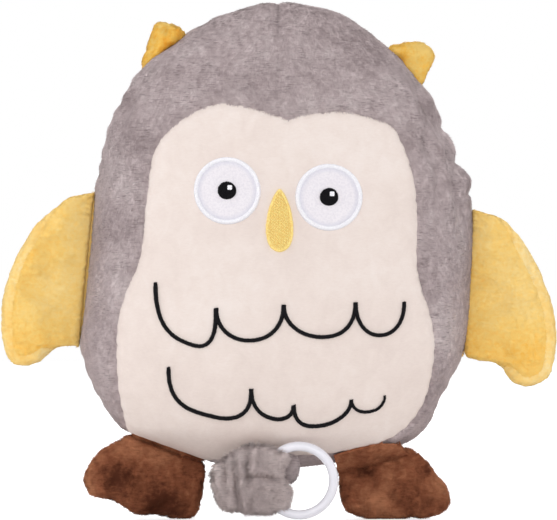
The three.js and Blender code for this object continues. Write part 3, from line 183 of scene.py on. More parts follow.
def inside(points, outline):
    """Which points of the front view lie in a closed outline."""
    x, z = points[:, 0], points[:, 1]
    found = np.zeros(len(points), bool)
    for (ax, az), (bx, bz) in zip(outline, np.roll(outline, -1, axis=0)):
        if az != bz:
            crosses = (az > z) != (bz > z)
            found ^= crosses & (x < (bx - ax) * (z - az) / (bz - az) + ax)
    return found


def distance_to(points, line):
    """How far each point lies from a closed line, and how far along the line the nearest place is."""
    ends = np.roll(line, -1, axis=0)
    lengths = np.linalg.norm(ends - line, axis=1)
    before = np.concatenate([[0], np.cumsum(lengths)[:-1]])
    best = np.full(len(points), np.inf)
    along = np.zeros(len(points))
    for a, b, length, far in zip(line, ends, lengths, before):
        if length < 1e-9:
            continue
        t = np.clip((points - a) @ (b - a) / length**2, 0, 1)
        d = np.linalg.norm(points - (a + t[:, None] * (b - a)), axis=1)
        nearer = d < best
        best[nearer] = d[nearer]
        along[nearer] = far + t[nearer] * length
    return best, along


# Meshes


def triangle_mesh(name, points, triangles):
    """A smooth mesh from points in millimetres."""
    mesh = bpy.data.meshes.new(name)
    triangles = np.asarray(triangles, np.int32)
    mesh.vertices.add(len(points))
    mesh.vertices.foreach_set("co", (np.asarray(points)[:, :3] * MM).astype(np.float32).ravel())
    mesh.loops.add(triangles.size)
    mesh.loops.foreach_set("vertex_index", triangles.ravel())
    mesh.polygons.add(len(triangles))
    mesh.polygons.foreach_set("loop_start", np.arange(0, triangles.size, 3, dtype=np.int32))
    mesh.polygons.foreach_set("use_smooth", np.ones(len(triangles), bool))
    mesh.update(calc_edges=True)
    mesh.validate()
    return mesh


def new_object(name, mesh, look=None, body=None):
    """A new object of the scene, which may ride on a body. A look is a material."""
    obj = bpy.data.objects.new(name, mesh)
    bpy.context.scene.collection.objects.link(obj)
    if look:
        mesh.materials.append(look[0])
    if body:
        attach(obj, body)
    return obj


def add_piece(name, points, triangles, look, body=None, replaced=(), fill=0):
    """One piece of the owl; the argument fill is not used."""
    obj = new_object(name, triangle_mesh(name, points, triangles), look, body)
    if replaced:
        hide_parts(*replaced)
    return obj


def mesh_data(mesh):
    """A mesh's points in millimetres and its triangles."""
    mesh.calc_loop_triangles()
    points = np.zeros(len(mesh.vertices) * 3, np.float32)
    mesh.vertices.foreach_get("co", points)
    triangles = np.zeros(len(mesh.loop_triangles) * 3, np.int32)
    mesh.loop_triangles.foreach_get("vertices", triangles)
    return points.reshape(-1, 3).astype(float) / MM, triangles.reshape(-1, 3)


def made_by(obj):
    """What an object's modifiers make of it, as points and triangles. The object is removed."""
    graph = bpy.context.evaluated_depsgraph_get()
    made = bpy.data.meshes.new_from_object(obj.evaluated_get(graph))
    found = mesh_data(made)
    plain = obj.data
    bpy.data.objects.remove(obj)
    for mesh in (made, plain):
        bpy.data.meshes.remove(mesh)
    return found


def grid_faces(rows, columns, closed=True):
    """Two triangles for each cell of a grid of points; a closed grid's last column joins its first."""
    at = np.arange(rows * columns).reshape(rows, columns)
    here, beside = (at, np.roll(at, -1, axis=1)) if closed else (at[:, :-1], at[:, 1:])
    a, b, c, d = here[:-1], beside[:-1], beside[1:], here[1:]
    return np.concatenate([np.stack(corners, -1).reshape(-1, 3) for corners in ((a, b, c), (a, c, d))])


def capped(rows, ends):
    """A closed skin of rows of points, each joined to the next, with a point at either end."""
    count, columns = rows.shape[:2]
    first = np.arange(columns)
    last = first + (count - 1) * columns
    low = np.full(columns, count * columns)
    triangles = np.concatenate([
        grid_faces(count, columns),
        np.stack([low, np.roll(first, -1), first], 1),
        np.stack([low + 1, last, np.roll(last, -1)], 1),
    ])
    return np.vstack([rows.reshape(-1, 3), ends]), triangles


def normals_of(points, triangles):
    a, b, c = (points[triangles[:, k], :3] for k in range(3))
    face = np.cross(b - a, c - a)
    total = np.zeros((len(points), 3))
    for k in range(3):
        np.add.at(total, triangles[:, k], face)
    return unit(total)


def with_normals(points, triangles):
    return np.hstack([points, normals_of(points, triangles)])


def compact(points, triangles):
    used, index = np.unique(triangles, return_inverse=True)
    return points[used], index.reshape(-1, 3)


CUT_NEAR = 0.02           # a point this near a cut counts as inside it, so that no slivers are left


def clipped(points, triangles, value):
    """The part of a triangle mesh where value is below zero, cut where it is zero."""
    value = np.where(np.abs(value) < CUT_NEAR, -CUT_NEAR, value)
    keep = value < 0
    inner = keep[triangles]
    count = inner.sum(1)
    mixed = triangles[(count == 1) | (count == 2)]
    held = keep[mixed]
    lone = held.sum(1) == 1
    first = np.where(lone[:, None], held, ~held).argmax(1)
    a, b, c = mixed[np.arange(len(mixed))[:, None], (first[:, None] + np.arange(3)) % 3].T
    edges = np.sort(np.concatenate([np.stack([a, b], 1), np.stack([a, c], 1)]), axis=1)
    edges, where = np.unique(edges, axis=0, return_inverse=True)
    where = where.ravel()
    low, high = value[edges[:, 0]], value[edges[:, 1]]
    t = (low / (low - high))[:, None]
    made = points[edges[:, 0]] * (1 - t) + points[edges[:, 1]] * t
    ab, ac = len(points) + where[:len(a)], len(points) + where[len(a):]
    kept = [
        triangles[count == 3],
        np.stack([a, ab, ac], 1)[lone],
        np.stack([ab, b, c], 1)[~lone],
        np.stack([ab, c, ac], 1)[~lone],
    ]
    return compact(np.vstack([points, made]), np.concatenate(kept))


def shell(points, triangles, thickness):
    """A closed sheet: a face, the same face moved in, and a rim. The points' columns 3 to 5 are normals."""
    n = len(points)
    inner = points[:, :3] - points[:, 3:6] * thickness
    forward = np.concatenate([triangles[:, [0, 1]], triangles[:, [1, 2]], triangles[:, [2, 0]]])
    code = forward[:, 0] * n + forward[:, 1]
    back = forward[:, 1] * n + forward[:, 0]
    rim = forward[~np.isin(code, back)]
    i, j = rim[:, 0], rim[:, 1]
    faces = np.concatenate([
        triangles,
        triangles[:, ::-1] + n,
        np.stack([j, i, i + n], 1),
        np.stack([j, i + n, j + n], 1),
    ])
    return np.vstack([points[:, :3], inner]), faces


def facing_out(points, triangles):
    a, b, c = (points[triangles[:, k], :3] for k in range(3))
    volume = ((a - points[0, :3]) * np.cross(b - points[0, :3], c - points[0, :3])).sum()
    return triangles[:, ::-1] if volume < 0 else triangles


def spread(points, triangles, count, seed):
    """Places spread over a surface by area: points and normals."""
    rng = np.random.default_rng(seed)
    a, b, c = (points[triangles[:, k], :3] for k in range(3))
    area = np.linalg.norm(np.cross(b - a, c - a), axis=1)
    ends = np.cumsum(area)
    chosen = np.searchsorted(ends, rng.uniform(0, ends[-1], count))
    u, v = rng.uniform(0, 1, (2, count))
    over = u + v > 1
    u[over], v[over] = 1 - u[over], 1 - v[over]
    corner = points[triangles[chosen]]
    found = (corner[:, 0] * (1 - u - v)[:, None] + corner[:, 1] * u[:, None] + corner[:, 2] * v[:, None])
    return found[:, :3], unit(found[:, 3:6])


LOWEST_TIP = 0.05         # no tuft reaches the floor
LEAST_LEAN, MOST_LEAN = 0.1, 1.5
LENGTH_SPREAD, WIDTH_SPREAD = (0.7, 1.25), (0.7, 1.3)


def add_pile(name, surface, count, nap, look, body, seed):
    """Plush pile: closed tufts that lie along the nap of a surface."""
    rng = np.random.default_rng(seed + 1)
    base, normal = spread(*surface, count, seed)
    grain = np.column_stack([nap["sideways"](base[:, 0]), np.zeros(count), np.full(count, -nap["down"])])
    flat = unit(grain - (grain * normal).sum(1)[:, None] * normal)
    side = np.cross(normal, flat)
    turn = (nap["swirl"] * lumps(base, nap["patch"], seed + 2)
            + nap["clump_turn"] * lumps(base, nap["clump"], seed + 3)
            + nap["jitter"] * rng.normal(0, 1, count))
    along = flat * np.cos(turn)[:, None] + side * np.sin(turn)[:, None]
    lean = (nap["lean"] + nap["lean_patch"] * lumps(base, nap["clump"], seed + 4)
            + nap["lean_jitter"] * rng.normal(0, 1, count))
    lean = np.clip(lean, LEAST_LEAN, MOST_LEAN)
    run = along * np.sin(lean)[:, None] + normal * np.cos(lean)[:, None]
    length = nap["length"] * rng.uniform(*LENGTH_SPREAD, count)[:, None]
    half = nap["width"] / 2 * rng.uniform(*WIDTH_SPREAD, count)[:, None]
    across = unit(np.cross(normal, run))
    up = unit(np.cross(run, across))
    root = base - normal * nap["sunk"]
    ridge, tip = root + up * half * nap["ridge"], root + run * length
    corners = [root - across * half, root + across * half, ridge, tip]
    points = np.stack(corners, axis=1).reshape(-1, 3)
    tuft = np.array([[0, 1, 3], [1, 2, 3], [2, 0, 3], [0, 2, 1]])
    faces = (4 * np.arange(count)[:, None, None] + facing_out(points[:4], tuft)).reshape(-1, 3)
    points[:, 2] = np.maximum(points[:, 2], LOWEST_TIP)
    mesh = triangle_mesh(name, points, faces)
    # a tuft is shaded as the nap it lies in, so that tufts don't read as separate chips
    shade = unit(normal + nap.get("glance", 0.3) * along + 0.1 * rng.normal(0, 1, (count, 3)))
    mesh.normals_split_custom_set_from_vertices(np.repeat(shade, 4, axis=0).tolist())
    planar_map(mesh)
    return new_object(name, mesh, look, body)


MAP_MARGIN = 0.02


def planar_map(mesh):
    """A map from the front view, so that tufts that lie together share their colour when baked."""
    layer = mesh.uv_layers.new(name="OFBake")
    index = np.zeros(len(mesh.loops), np.int32)
    mesh.loops.foreach_get("vertex_index", index)
    co = np.zeros(len(mesh.vertices) * 3, np.float32)
    mesh.vertices.foreach_get("co", co)
    co = co.reshape(-1, 3)[:, [0, 2]]
    low, high = co.min(0), co.max(0)
    place = MAP_MARGIN + (1 - 2 * MAP_MARGIN) * (co - low) / max((high - low).max(), 1e-6)
    layer.data.foreach_set("uv", place[index].astype(np.float32).ravel())


# Materials


class Nodes:
    """A short way to write the nodes of a new material, or of a world."""

    def __init__(self, name, world=None):
        self.material = world or bpy.data.materials.new(name)
        self.material.use_nodes = True
        self.tree = self.material.node_tree
        self.place = self.add("ShaderNodeTexCoord").outputs["Object"]

    def add(self, kind, settings=(), **sockets):
        node = self.tree.nodes.new(kind)
        for key, value in dict(settings).items():
            setattr(node, key, value)
        for key, value in sockets.items():
            self.put(node.inputs[key.replace("_", " ")], value)
        return node

    def put(self, socket, value):
        if isinstance(value, bpy.types.NodeSocket):
            self.tree.links.new(value, socket)
        else:
            socket.default_value = value

    def finish(self, **sockets):
        shader = next(n for n in self.tree.nodes if n.type == "BSDF_PRINCIPLED")
        for key, value in sockets.items():
            self.put(shader.inputs[key.replace("_", " ")], value)
        return self.material

    def noise(self, scale, detail=2.0, roughness=0.5, stretch=(1, 1, 1), turn=(0, 0, 0), distortion=0.0):
        """Noise from 0 to 1; scale is in lumps per metre."""
        placed = self.add("ShaderNodeMapping", Vector=self.place, Scale=stretch, Rotation=turn)
        return self.add("ShaderNodeTexNoise", Vector=placed.outputs[0], Scale=scale, Detail=detail,
                        Roughness=roughness, Distortion=distortion).outputs["Fac"]

    def distance(self, x, z):
        """How far a place lies from (x, z) in the front view, in metres."""
        flat = self.add("ShaderNodeMapping", Vector=self.place, Scale=(1, 0, 1)).outputs[0]
        node = self.add("ShaderNodeVectorMath", {"operation": "DISTANCE"})
        self.put(node.inputs[0], flat)
        self.put(node.inputs[1], (x * MM, 0, z * MM))
        return node.outputs["Value"]

    def ramp(self, value, stops):
        node = self.add("ShaderNodeValToRGB", Fac=value)
        elements = node.color_ramp.elements
        while len(elements) > 1:
            elements.remove(elements[-1])
        for i, (at, colour) in enumerate(stops):
            element = elements[0] if i == 0 else elements.new(at)
            element.position = at
            element.color = (*colour, 1)
        return node.outputs["Color"]

    def mix(self, a, b, factor):
        node = self.add("ShaderNodeMix", {"data_type": "RGBA"})
        for socket, value in ((node.inputs[0], factor), (node.inputs[6], a), (node.inputs[7], b)):
            self.put(socket, (*value, 1) if isinstance(value, tuple) and len(value) == 3 else value)
        return node.outputs[2]

    def maths(self, kind, *values):
        node = self.add("ShaderNodeMath", {"operation": kind})
        for socket, value in zip(node.inputs, values):
            self.put(socket, value)
        return node.outputs[0]

    def bump(self, height, distance, strength):
        node = self.add("ShaderNodeBump", Height=height, Distance=distance, Strength=strength)
        return node.outputs["Normal"]

    def mask(self, value, low, high):
        """Zero where a value is under low, and one where it is over high."""
        return self.ramp(value, [(low, (0, 0, 0)), (high, (1, 1, 1))])

    def weighed(self, a, share, b):
        """A share of a, and b for the rest."""
        return self.maths("MULTIPLY_ADD", a, share, self.maths("MULTIPLY", b, 1 - share))


def srgb(r, g, b):
    """A colour as it reads on screen, from 0 to 255, made linear for a shader."""
    shares = (r / 255, g / 255, b / 255)
    return tuple(v / 12.92 if v <= 0.04045 else ((v + 0.055) / 1.055) ** 2.4 for v in shares)


def plush(name, dark, middle, light, patch=34, mottle=260, streak=520, sheen=0.35, relief=0.0006,
          painted_parting_shade=0.0, contrast=0.14, broad_share=0.45, painted_light_and_shade=()):
    """Short pile: broad nap patches, mottling, fine streaks and dark partings painted as shade, with a soft
    sheen.

    Each painted patch is a place in the front view, its radius in millimetres, and how much lighter it is:
    painted light where it is lighter, painted shade where it is darker.
    """
    n = Nodes(name)
    spots = n.noise(mottle, 3.0, 0.6, (1, 1, 0.75), distortion=0.6)
    lines = n.noise(streak, 2.0, 0.6, (0.45, 0.45, 1.3), (0.3, 0.4, 0.2), distortion=0.4)
    level = n.weighed(n.noise(patch), broad_share, n.weighed(spots, 0.64, lines))
    # painted light and shade: patches lighter or darker round given places of the front view
    for x, z, radius, shift in painted_light_and_shade:
        away = n.maths("MULTIPLY", n.distance(x, z), 1 / (radius * MM))
        near = n.ramp(away, [(0.0, (1, 1, 1)), (1.0, (0, 0, 0))])
        level = n.maths("MULTIPLY_ADD", near, shift, level)
    colour = n.ramp(level, [(0.5 - contrast, dark), (0.5, middle), (0.5 + contrast, light)])
    if painted_parting_shade:
        # painted shade: partings are short dark dashes across, where a stretched noise is high, standing for
        # the shade deep in the pile
        dashes = n.noise(800, 2.0, 0.55, (0.3, 0.3, 1.7), (0, 0.06, 0), distortion=0.25)
        where = n.ramp(n.noise(70), [(0.38, (0.1, 0.1, 0.1)), (0.62, (1, 1, 1))])
        amount = n.maths("MULTIPLY", n.maths("MULTIPLY", n.mask(dashes, 0.52, 0.7), where), painted_parting_shade)
        colour = n.mix(colour, tuple(0.5 * v for v in dark), amount)
    return n.finish(Base_Color=colour, Roughness=0.9, Specular_IOR_Level=0.15, Sheen_Weight=sheen,
                    Sheen_Roughness=0.45, Sheen_Tint=(*light, 1),
                    Normal=n.bump(n.weighed(spots, 0.6, lines), relief, 0.7))


def thread(name, colour, shade, roughness=0.45, gloss=0.5):
    """Embroidery thread, with fine strands and a soft gloss."""
    n = Nodes(name)
    strands = n.noise(1800)
    return n.finish(Base_Color=n.mix(shade, colour, n.mask(strands, 0.3, 0.6)), Roughness=roughness,
                    Specular_IOR_Level=gloss, Sheen_Weight=0.3 * gloss, Sheen_Roughness=0.4,
                    Normal=n.bump(strands, 0.0001, 0.6))


def plastic(name, colour, tint, roughness=0.22):
    """Moulded plastic: faint flow marks and a fine surface grain."""
    n = Nodes(name)
    grain = n.noise(900)
    return n.finish(Base_Color=n.mix(colour, tint, n.noise(24)),
                    Roughness=n.maths("MULTIPLY_ADD", grain, 0.12, roughness - 0.06),
                    Subsurface_Weight=0.08, Subsurface_Radius=(0.004, 0.004, 0.004), Subsurface_Scale=0.3,
                    Coat_Weight=0.3, Coat_Roughness=0.12, Normal=n.bump(grain, 0.00004, 0.4))


def felt(name, colour, shade, edge, centres, radius):
    """White felt discs with a painted shadow just inside their stitched border."""
    n = Nodes(name)
    fibres = n.noise(900, 3.0, 0.6)
    plain = n.mix(shade, colour, n.mask(fibres, 0.3, 0.6))
    # painted shadow: the edge colour is mixed in as a ring just inside each stitched border
    near = n.maths("MINIMUM", *[n.distance(x, z) for x, z in centres])
    ring = n.mask(n.maths("MULTIPLY", near, 1 / (radius * MM)), 0.72, 0.84)
    return n.finish(Base_Color=n.mix(plain, edge, n.maths("MULTIPLY", ring, 0.45)), Roughness=0.9,
                    Specular_IOR_Level=0.2, Sheen_Weight=0.2, Sheen_Roughness=0.4,
                    Normal=n.bump(fibres, 0.00015, 0.6))


def metal(name, colour, dark, roughness=0.3):
    """Stamped or turned metal with marks of brushing and a little tarnish."""
    n = Nodes(name)
    marks = n.noise(700, 3.0, 0.6, (1, 0.15, 1))
    tarnish = n.mask(n.noise(130, 3.0, 0.6), 0.45, 0.75)
    return n.finish(Base_Color=n.mix(colour, dark, tarnish), Metallic=1.0,
                    Roughness=n.maths("MULTIPLY_ADD", marks, 0.25, roughness - 0.1),
                    Normal=n.bump(marks, 0.00003, 0.5))


def twine(name, colour, shade):
    """Twisted cord: slanting strands with a fine grain."""
    n = Nodes(name)
    strands = n.add("ShaderNodeTexWave", {"bands_direction": "DIAGONAL"}, Vector=n.place, Scale=420.0,
                    Distortion=1.0, Detail=1.0).outputs["Fac"]
    level = n.weighed(strands, 0.7, n.noise(1500))
    return n.finish(Base_Color=n.mix(shade, colour, level), Roughness=0.8, Sheen_Weight=0.2,
                    Normal=n.bump(level, 0.0002, 0.8))


def fibrefill(name):
    """Polyester stuffing: white, in soft clouds with fine fibres."""
    n = Nodes(name)
    clouds = n.noise(60, 4.0, 0.6, distortion=1.0)
    fibres = n.noise(700, 4.0, 0.7, (1, 1, 0.3), (0.5, 0.2, 0.9), distortion=2.0)
    level = n.weighed(clouds, 0.6, fibres)
    return n.finish(Base_Color=n.ramp(level, [(0.3, srgb(214, 214, 210)), (0.7, srgb(250, 250, 248))]),
                    Roughness=0.95, Sheen_Weight=0.4, Subsurface_Weight=0.1,
                    Subsurface_Radius=(0.005, 0.005, 0.005), Subsurface_Scale=0.4,
                    Normal=n.bump(level, 0.0012, 0.8))


# Looks: a material, and the slot of the pieces that have it

# painted shade: darker patches over the body's folds on both sides and a faint broad one high on the head; the
# partings are painted shade too
GREY = plush("grey_plush", srgb(166, 150, 151), srgb(189, 173, 174), srgb(206, 192, 192), sheen=0.55,
             painted_parting_shade=0.65, contrast=0.13, painted_light_and_shade=[
                 (84, 228, 11, -0.14), (76, 214, 9, -0.1), (93, 205, 8, -0.12), (97, 188, 7, -0.1),
                 (-85, 236, 9, -0.2), (88, 240, 8, -0.1), (40, 262, 26, -0.04)]), "grey_plush"
# painted light: a lighter copy of the grey plush for the tab, against the shade it lies in under the belly; its
# partings are painted shade
TAB_GREY_PAINTED_LIGHT = plush("tab_plush_painted_light", srgb(190, 174, 173), srgb(212, 196, 194), srgb(228, 214, 211),
                 sheen=0.6, painted_parting_shade=0.5), "grey_plush"
CREAM = plush("cream_plush", srgb(228, 213, 206), srgb(234, 220, 213), srgb(239, 227, 221),
              patch=16, mottle=120, streak=900, sheen=0.2, relief=0.00025), "cream_plush"
# painted light near the wings' roots, where the body shades them; the other patches make the wings darker high
# in their middles and lighter lower down
YELLOW = plush("yellow_plush", srgb(255, 196, 88), srgb(255, 212, 120), srgb(255, 222, 146),
               patch=16, mottle=420, sheen=1.0, relief=0.0004, contrast=0.16, broad_share=0.5,
               painted_light_and_shade=[(-136, 150, 20, -0.1), (-116, 128, 30, 0.08), (-108, 165, 20, 0.06),
                        (138, 158, 22, -0.08), (136, 122, 30, 0.07), (112, 160, 20, 0.05)]), "yellow_plush"
# painted light and shade: darker in the feet's folds and low on them, lighter along their tops; the partings
# are painted shade too
BROWN = plush("brown_plush", srgb(92, 48, 31), srgb(154, 93, 65), srgb(192, 128, 93), patch=24, sheen=0.4,
              painted_parting_shade=0.3, contrast=0.14, broad_share=0.5, painted_light_and_shade=[
                  (-91, 23, 16, -0.2), (-68, 8, 15, -0.16), (-106, 16, 9, 0.08), (-62, 36, 12, 0.12),
                  (-82, 42, 12, 0.1), (-50, 14, 9, 0.08), (49, 27, 9, -0.12), (38, 14, 9, -0.1),
                  (70, 13, 12, -0.16),
                  (84, 30, 7, -0.12), (58, 36, 16, 0.1), (91, 18, 10, 0.1), (56, 12, 6, 0.06)]), "brown_plush"
FILL = fibrefill("fibre_filling"), "stuffing"
BLACK_THREAD = thread("black_thread", srgb(22, 20, 24), srgb(8, 8, 10), 0.7, 0.1), "black_thread"
WHITE_THREAD = thread("white_thread", srgb(250, 249, 253), srgb(232, 230, 238)), "white_thread"
YELLOW_THREAD = thread("yellow_thread", srgb(255, 236, 154), srgb(240, 194, 98)), "yellow_thread"
RING_PLASTIC = plastic("ring_plastic", srgb(240, 238, 245), srgb(230, 229, 238)), "white_plastic"
CASE_PLASTIC = plastic("case_plastic", srgb(222, 226, 229), srgb(208, 213, 218), 0.4), None
BRASS = metal("brass", srgb(206, 172, 92), srgb(150, 112, 54)), None
STEEL = metal("steel", srgb(190, 193, 197), srgb(138, 140, 146)), None
CORD = twine("cord", srgb(240, 236, 228), srgb(204, 198, 186)), "cord"

# Camera, lights and stage

PIXEL = 0.56              # millimetres of the owl to a pixel of the photograph
FRAME_PIXELS = 557
CAMERA_FAR = 5000
CAMERA_RISE = math.radians(0.6)
SENSOR_WIDTH = 36
TARGET = Vector((0.28, 0, 145)) * MM
WORLD_LIGHT = 0.45        # the world's light on the owl; to the eye it is plain white
FLOOR_HALF = 4000
FLOOR_GLOW = 0.7          # the floor glows for the eye only, so that it reads as white


def add_camera():
    data = bpy.data.cameras.new("camera")
    data.sensor_width = SENSOR_WIDTH
    data.lens = SENSOR_WIDTH * CAMERA_FAR / (FRAME_PIXELS * PIXEL)
    data.clip_start = 0.1
    data.clip_end = 60
    camera = bpy.data.objects.new("camera", data)
    bpy.context.scene.collection.objects.link(camera)
    back = Vector((0, -math.cos(CAMERA_RISE), math.sin(CAMERA_RISE)))
    camera.location = TARGET + back * CAMERA_FAR * MM
    camera.rotation_euler = (-back).to_track_quat("-Z", "Y").to_euler()
    bpy.context.scene.camera = camera


def add_lamp(name, place, size, watts):
    data = bpy.data.lights.new(name, "AREA")
    data.shape = "DISK"
    data.size = size
    data.energy = watts
    lamp = bpy.data.objects.new(name, data)
    bpy.context.scene.collection.objects.link(lamp)
    lamp.location = place
    lamp.rotation_euler = (TARGET - Vector(place)).to_track_quat("-Z", "Y").to_euler()


def seen_by_eye(n):
    """One where a ray comes from the camera, a mirror or glass."""
    ray = n.add("ShaderNodeLightPath").outputs
    mirrored = n.maths("MAXIMUM", ray["Is Glossy Ray"], ray["Is Transmission Ray"])
    return n.maths("MAXIMUM", ray["Is Camera Ray"], mirrored)


def add_world():
    world = bpy.data.worlds.new("world")
    bpy.context.scene.world = world
    n = Nodes("world", world)
    mix = n.add("ShaderNodeMixShader")
    n.put(mix.inputs[0], seen_by_eye(n))
    for socket, strength in ((mix.inputs[1], WORLD_LIGHT), (mix.inputs[2], 1.0)):
        n.put(socket, n.add("ShaderNodeBackground", Color=(1, 1, 1, 1), Strength=strength).outputs[0])
    n.put(n.tree.nodes["World Output"].inputs["Surface"], mix.outputs[0])


def add_floor():
    corners = np.array([(-1, -1, 0), (1, -1, 0), (1, 1, 0), (-1, 1, 0)]) * FLOOR_HALF
    floor = new_object("floor", triangle_mesh("floor", corners, [(0, 1, 2), (0, 2, 3)]))
    n = Nodes("floor")
    glow = n.maths("MULTIPLY", seen_by_eye(n), FLOOR_GLOW)
    floor.data.materials.append(n.finish(
        Base_Color=n.mix(srgb(250, 250, 250), srgb(246, 246, 246), n.noise(30)), Roughness=0.9,
        Specular_IOR_Level=0.1, Emission_Color=(1, 1, 1, 1), Emission_Strength=glow))
    floor.location.z = -0.0002


bpy.context.scene.view_settings.view_transform = "Standard"
add_camera()
add_world()
add_floor()
# name, place in metres, width, watts
for lamp in (("key", (-1.3, -2.4, 1.9), 1.7, 17), ("fill", (1.9, -2.0, 1.0), 1.8, 7),
             ("front", (0.0, -3.2, 0.7), 1.6, 16), ("top", (0.1, 0.3, 2.4), 1.6, 14),
             ("back", (0.4, 2.4, 1.4), 1.8, 18), ("left", (-2.6, -0.5, 0.7), 1.6, 16),
             ("right", (2.6, -0.4, 0.7), 1.6, 10)):
    add_lamp(*lamp)

# Body form


def half_section(row):
    """Half widths and half depths of the body at a row: left, right, front, back."""
    return (smooth_table(OUTLINE_BY_ROW, 1, row) * BODY_WIDTH / 2,
            smooth_table(OUTLINE_BY_ROW, 2, row) * BODY_WIDTH / 2,
            smooth_table(PROFILE_BY_ROW, 1, row) * BODY_DEPTH / 2,
            smooth_table(PROFILE_BY_ROW, 2, row) * (BODY_DEPTH / 2 + BACK_FLAT))


def section_at(z):
    return half_section(row_of((np.asarray(z, float) - BODY_BASE) / BODY_HEIGHT))


def front_of(x, z):
    """The plain body's front, as y at places in the front view."""
    left, right, front, _ = section_at(z)
    share = np.minimum(np.abs(x) / np.maximum(np.where(x < 0, left, right), 1e-6), 1)
    return -front * (1 - share**CORNER_POWER) ** (1 / CORNER_POWER)


def on_body(shares):
    shares = np.asarray(shares, float)
    return np.column_stack([shares[:, 0] * BODY_WIDTH / 2, BODY_BASE + shares[:, 1] * BODY_HEIGHT])


def lifted(outline):
    """A line of the front view, laid on the body's front."""
    return np.column_stack([outline[:, 0], front_of(outline[:, 0], outline[:, 1]), outline[:, 1]])


PANEL_LINE = closed_curve(on_body(PANEL), 1.5)
PANEL_ON_BODY = lifted(PANEL_LINE)
HEAD_SEAM_LOW = BODY_BASE + 0.75 * BODY_HEIGHT


def body_grid(rows, sectors):
    """The plain body's skin."""
    row = np.arange(1, rows) / rows
    angle = np.arange(sectors) / sectors * TWO_PI
    c, s = np.cos(angle), np.sin(angle)
    c[np.abs(c) < 1e-12] = 0
    s[np.abs(s) < 1e-12] = 0
    across = np.sign(c) * np.abs(c) ** (2 / CORNER_POWER)
    along = np.sign(s) * np.abs(s) ** (2 / CORNER_POWER)
    left, right, front, back = (v[:, None] for v in half_section(row))
    x = across * np.where(c < 0, left, right)
    y = along * np.where(s < 0, front, back)
    press = BODY_DEPTH / 2 - BACK_SOFT
    y = np.where(y > press, press + BACK_SOFT * (1 - np.exp(-(y - press) / BACK_SOFT)), y)
    z = np.broadcast_to((BODY_BASE + height_share(row) * BODY_HEIGHT)[:, None], x.shape)
    return capped(np.stack([x, y, z], -1), [(0, 0, BODY_BASE), (0, 0, BODY_BASE + BODY_HEIGHT)])


# Folds and gathers of the body: place in the front view, half length, half width, turn in degrees, depth
FOLDS = [
    (-83, 235, 13, 3.2, 62, 2.8), (-88, 222, 9, 3, 75, 1.6),
    (85, 229, 16, 3.6, 116, 2.4), (93, 214, 15, 3.2, 108, 2.8), (97, 197, 13, 3.4, 98, 2.6),
    (100, 184, 13, 3.2, 94, 2.4), (91, 240, 10, 3, 125, 1.8), (86, 206, 17, 3.4, 103, 2.0),
    (90, 190, 12, 3, 84, 1.5), (79, 236, 12, 3, 120, 1.4),
    (103, 168, 10, 3.2, 80, 1.6), (-99, 190, 12, 4, 82, 1.3), (-101, 120, 16, 4.5, 95, 1.2),
    (102, 110, 18, 5, 86, 1.2), (60, 262, 16, 4, 140, 0.9), (-55, 268, 15, 4, 35, 0.9),
]
# the same on the back
BACK_FOLDS = [
    (-70, 90, 22, 6, 70, 1.3), (64, 84, 22, 6, 112, 1.3), (-78, 180, 20, 6, 84, 1.1),
    (80, 190, 20, 6, 96, 1.2), (-30, 52, 16, 5, 30, 1.2), (34, 50, 16, 5, 150, 1.2),
    (-40, 262, 15, 5, 40, 1.0), (38, 262, 15, 5, 140, 1.0),
]


def folded(points, folds):
    """How far folds sink a surface at its points, with a low ridge on both sides of each."""
    total = np.zeros(len(points))
    for fx, fz, half_long, half_wide, turn, depth in folds:
        c, s = math.cos(math.radians(turn)), math.sin(math.radians(turn))
        u = ((points[:, 0] - fx) * c + (points[:, 2] - fz) * s) / half_long
        v = (-(points[:, 0] - fx) * s + (points[:, 2] - fz) * c) / half_wide
        v = v + 0.5 * u * u
        total -= depth * bell(u) * (bell(v) - 0.45 * bell(np.abs(v) - 2, 0.9))
    return total


# Heights between which the left and the right wing, and below which the feet, are sewn into the side seams
WING_SEAM_TOPS, WING_SEAM_LOWS, FOOT_SEAM_TOP = (186, 177), (98, 86), 56
LIMB_FADE = 8


def free_of_limbs(x, z):
    """One where the side seam is free, and zero where a wing or a foot is sewn into it."""
    high = np.where(x < 0, *WING_SEAM_TOPS)
    low = np.where(x < 0, *WING_SEAM_LOWS)
    free = np.clip(np.maximum(z - high, low - z) / LIMB_FADE, 0, 1)
    return free * np.clip((z - FOOT_SEAM_TOP) / LIMB_FADE, 0, 1)


# Gathers of the right side seam, which show in its outline: height, half height, and how far each stands out
SIDE_GATHERS = [
    (218.4, 2.8, -2.2), (209.5, 5, 1.2), (200.2, 2.6, -3), (191.5, 5, 1.3), (183, 2.4, -2.4),
]


# The valleys that the body's seams lie in: depth and width
PANEL_SEAM, HEAD_SEAM, BELLY_SEAM, SIDE_SEAM = (1.5, 2.4), (1.3, 2.2), (1.0, 2.2), (1.2, 2.4)
# Gathers along the panel's and the side seams: how far apart, how deep, and how far they reach to each side
PANEL_GATHERS, SEAM_GATHERS = (9.5, 0.55, 7), (11, 0.9, 9)
GATHERED_ABOVE = 178      # the right side's own gathers start here
BODY_BULGES = [(0.9, 42, 11), (0.45, 19, 12), (0.18, 9, 13)]
BODY_DRAWN_IN = 0.5       # how much the whole cover is drawn in, to make up for its bulges
BELLY_SEAM_TALL = 8       # how far up from the bottom the belly's seam shows
LIMB_SEAM_SUNK = 0.15     # where a limb is sewn in, the side seam lies this deep, without folds


def valley(distance, seam):
    depth, width = seam
    return -depth * bell(distance, width)


def gathers(place, distance, noise, kind):
    pitch, depth, width = kind
    return -depth * (0.5 + 0.5 * np.sin(place * TWO_PI / pitch + noise)) * bell(distance, width)


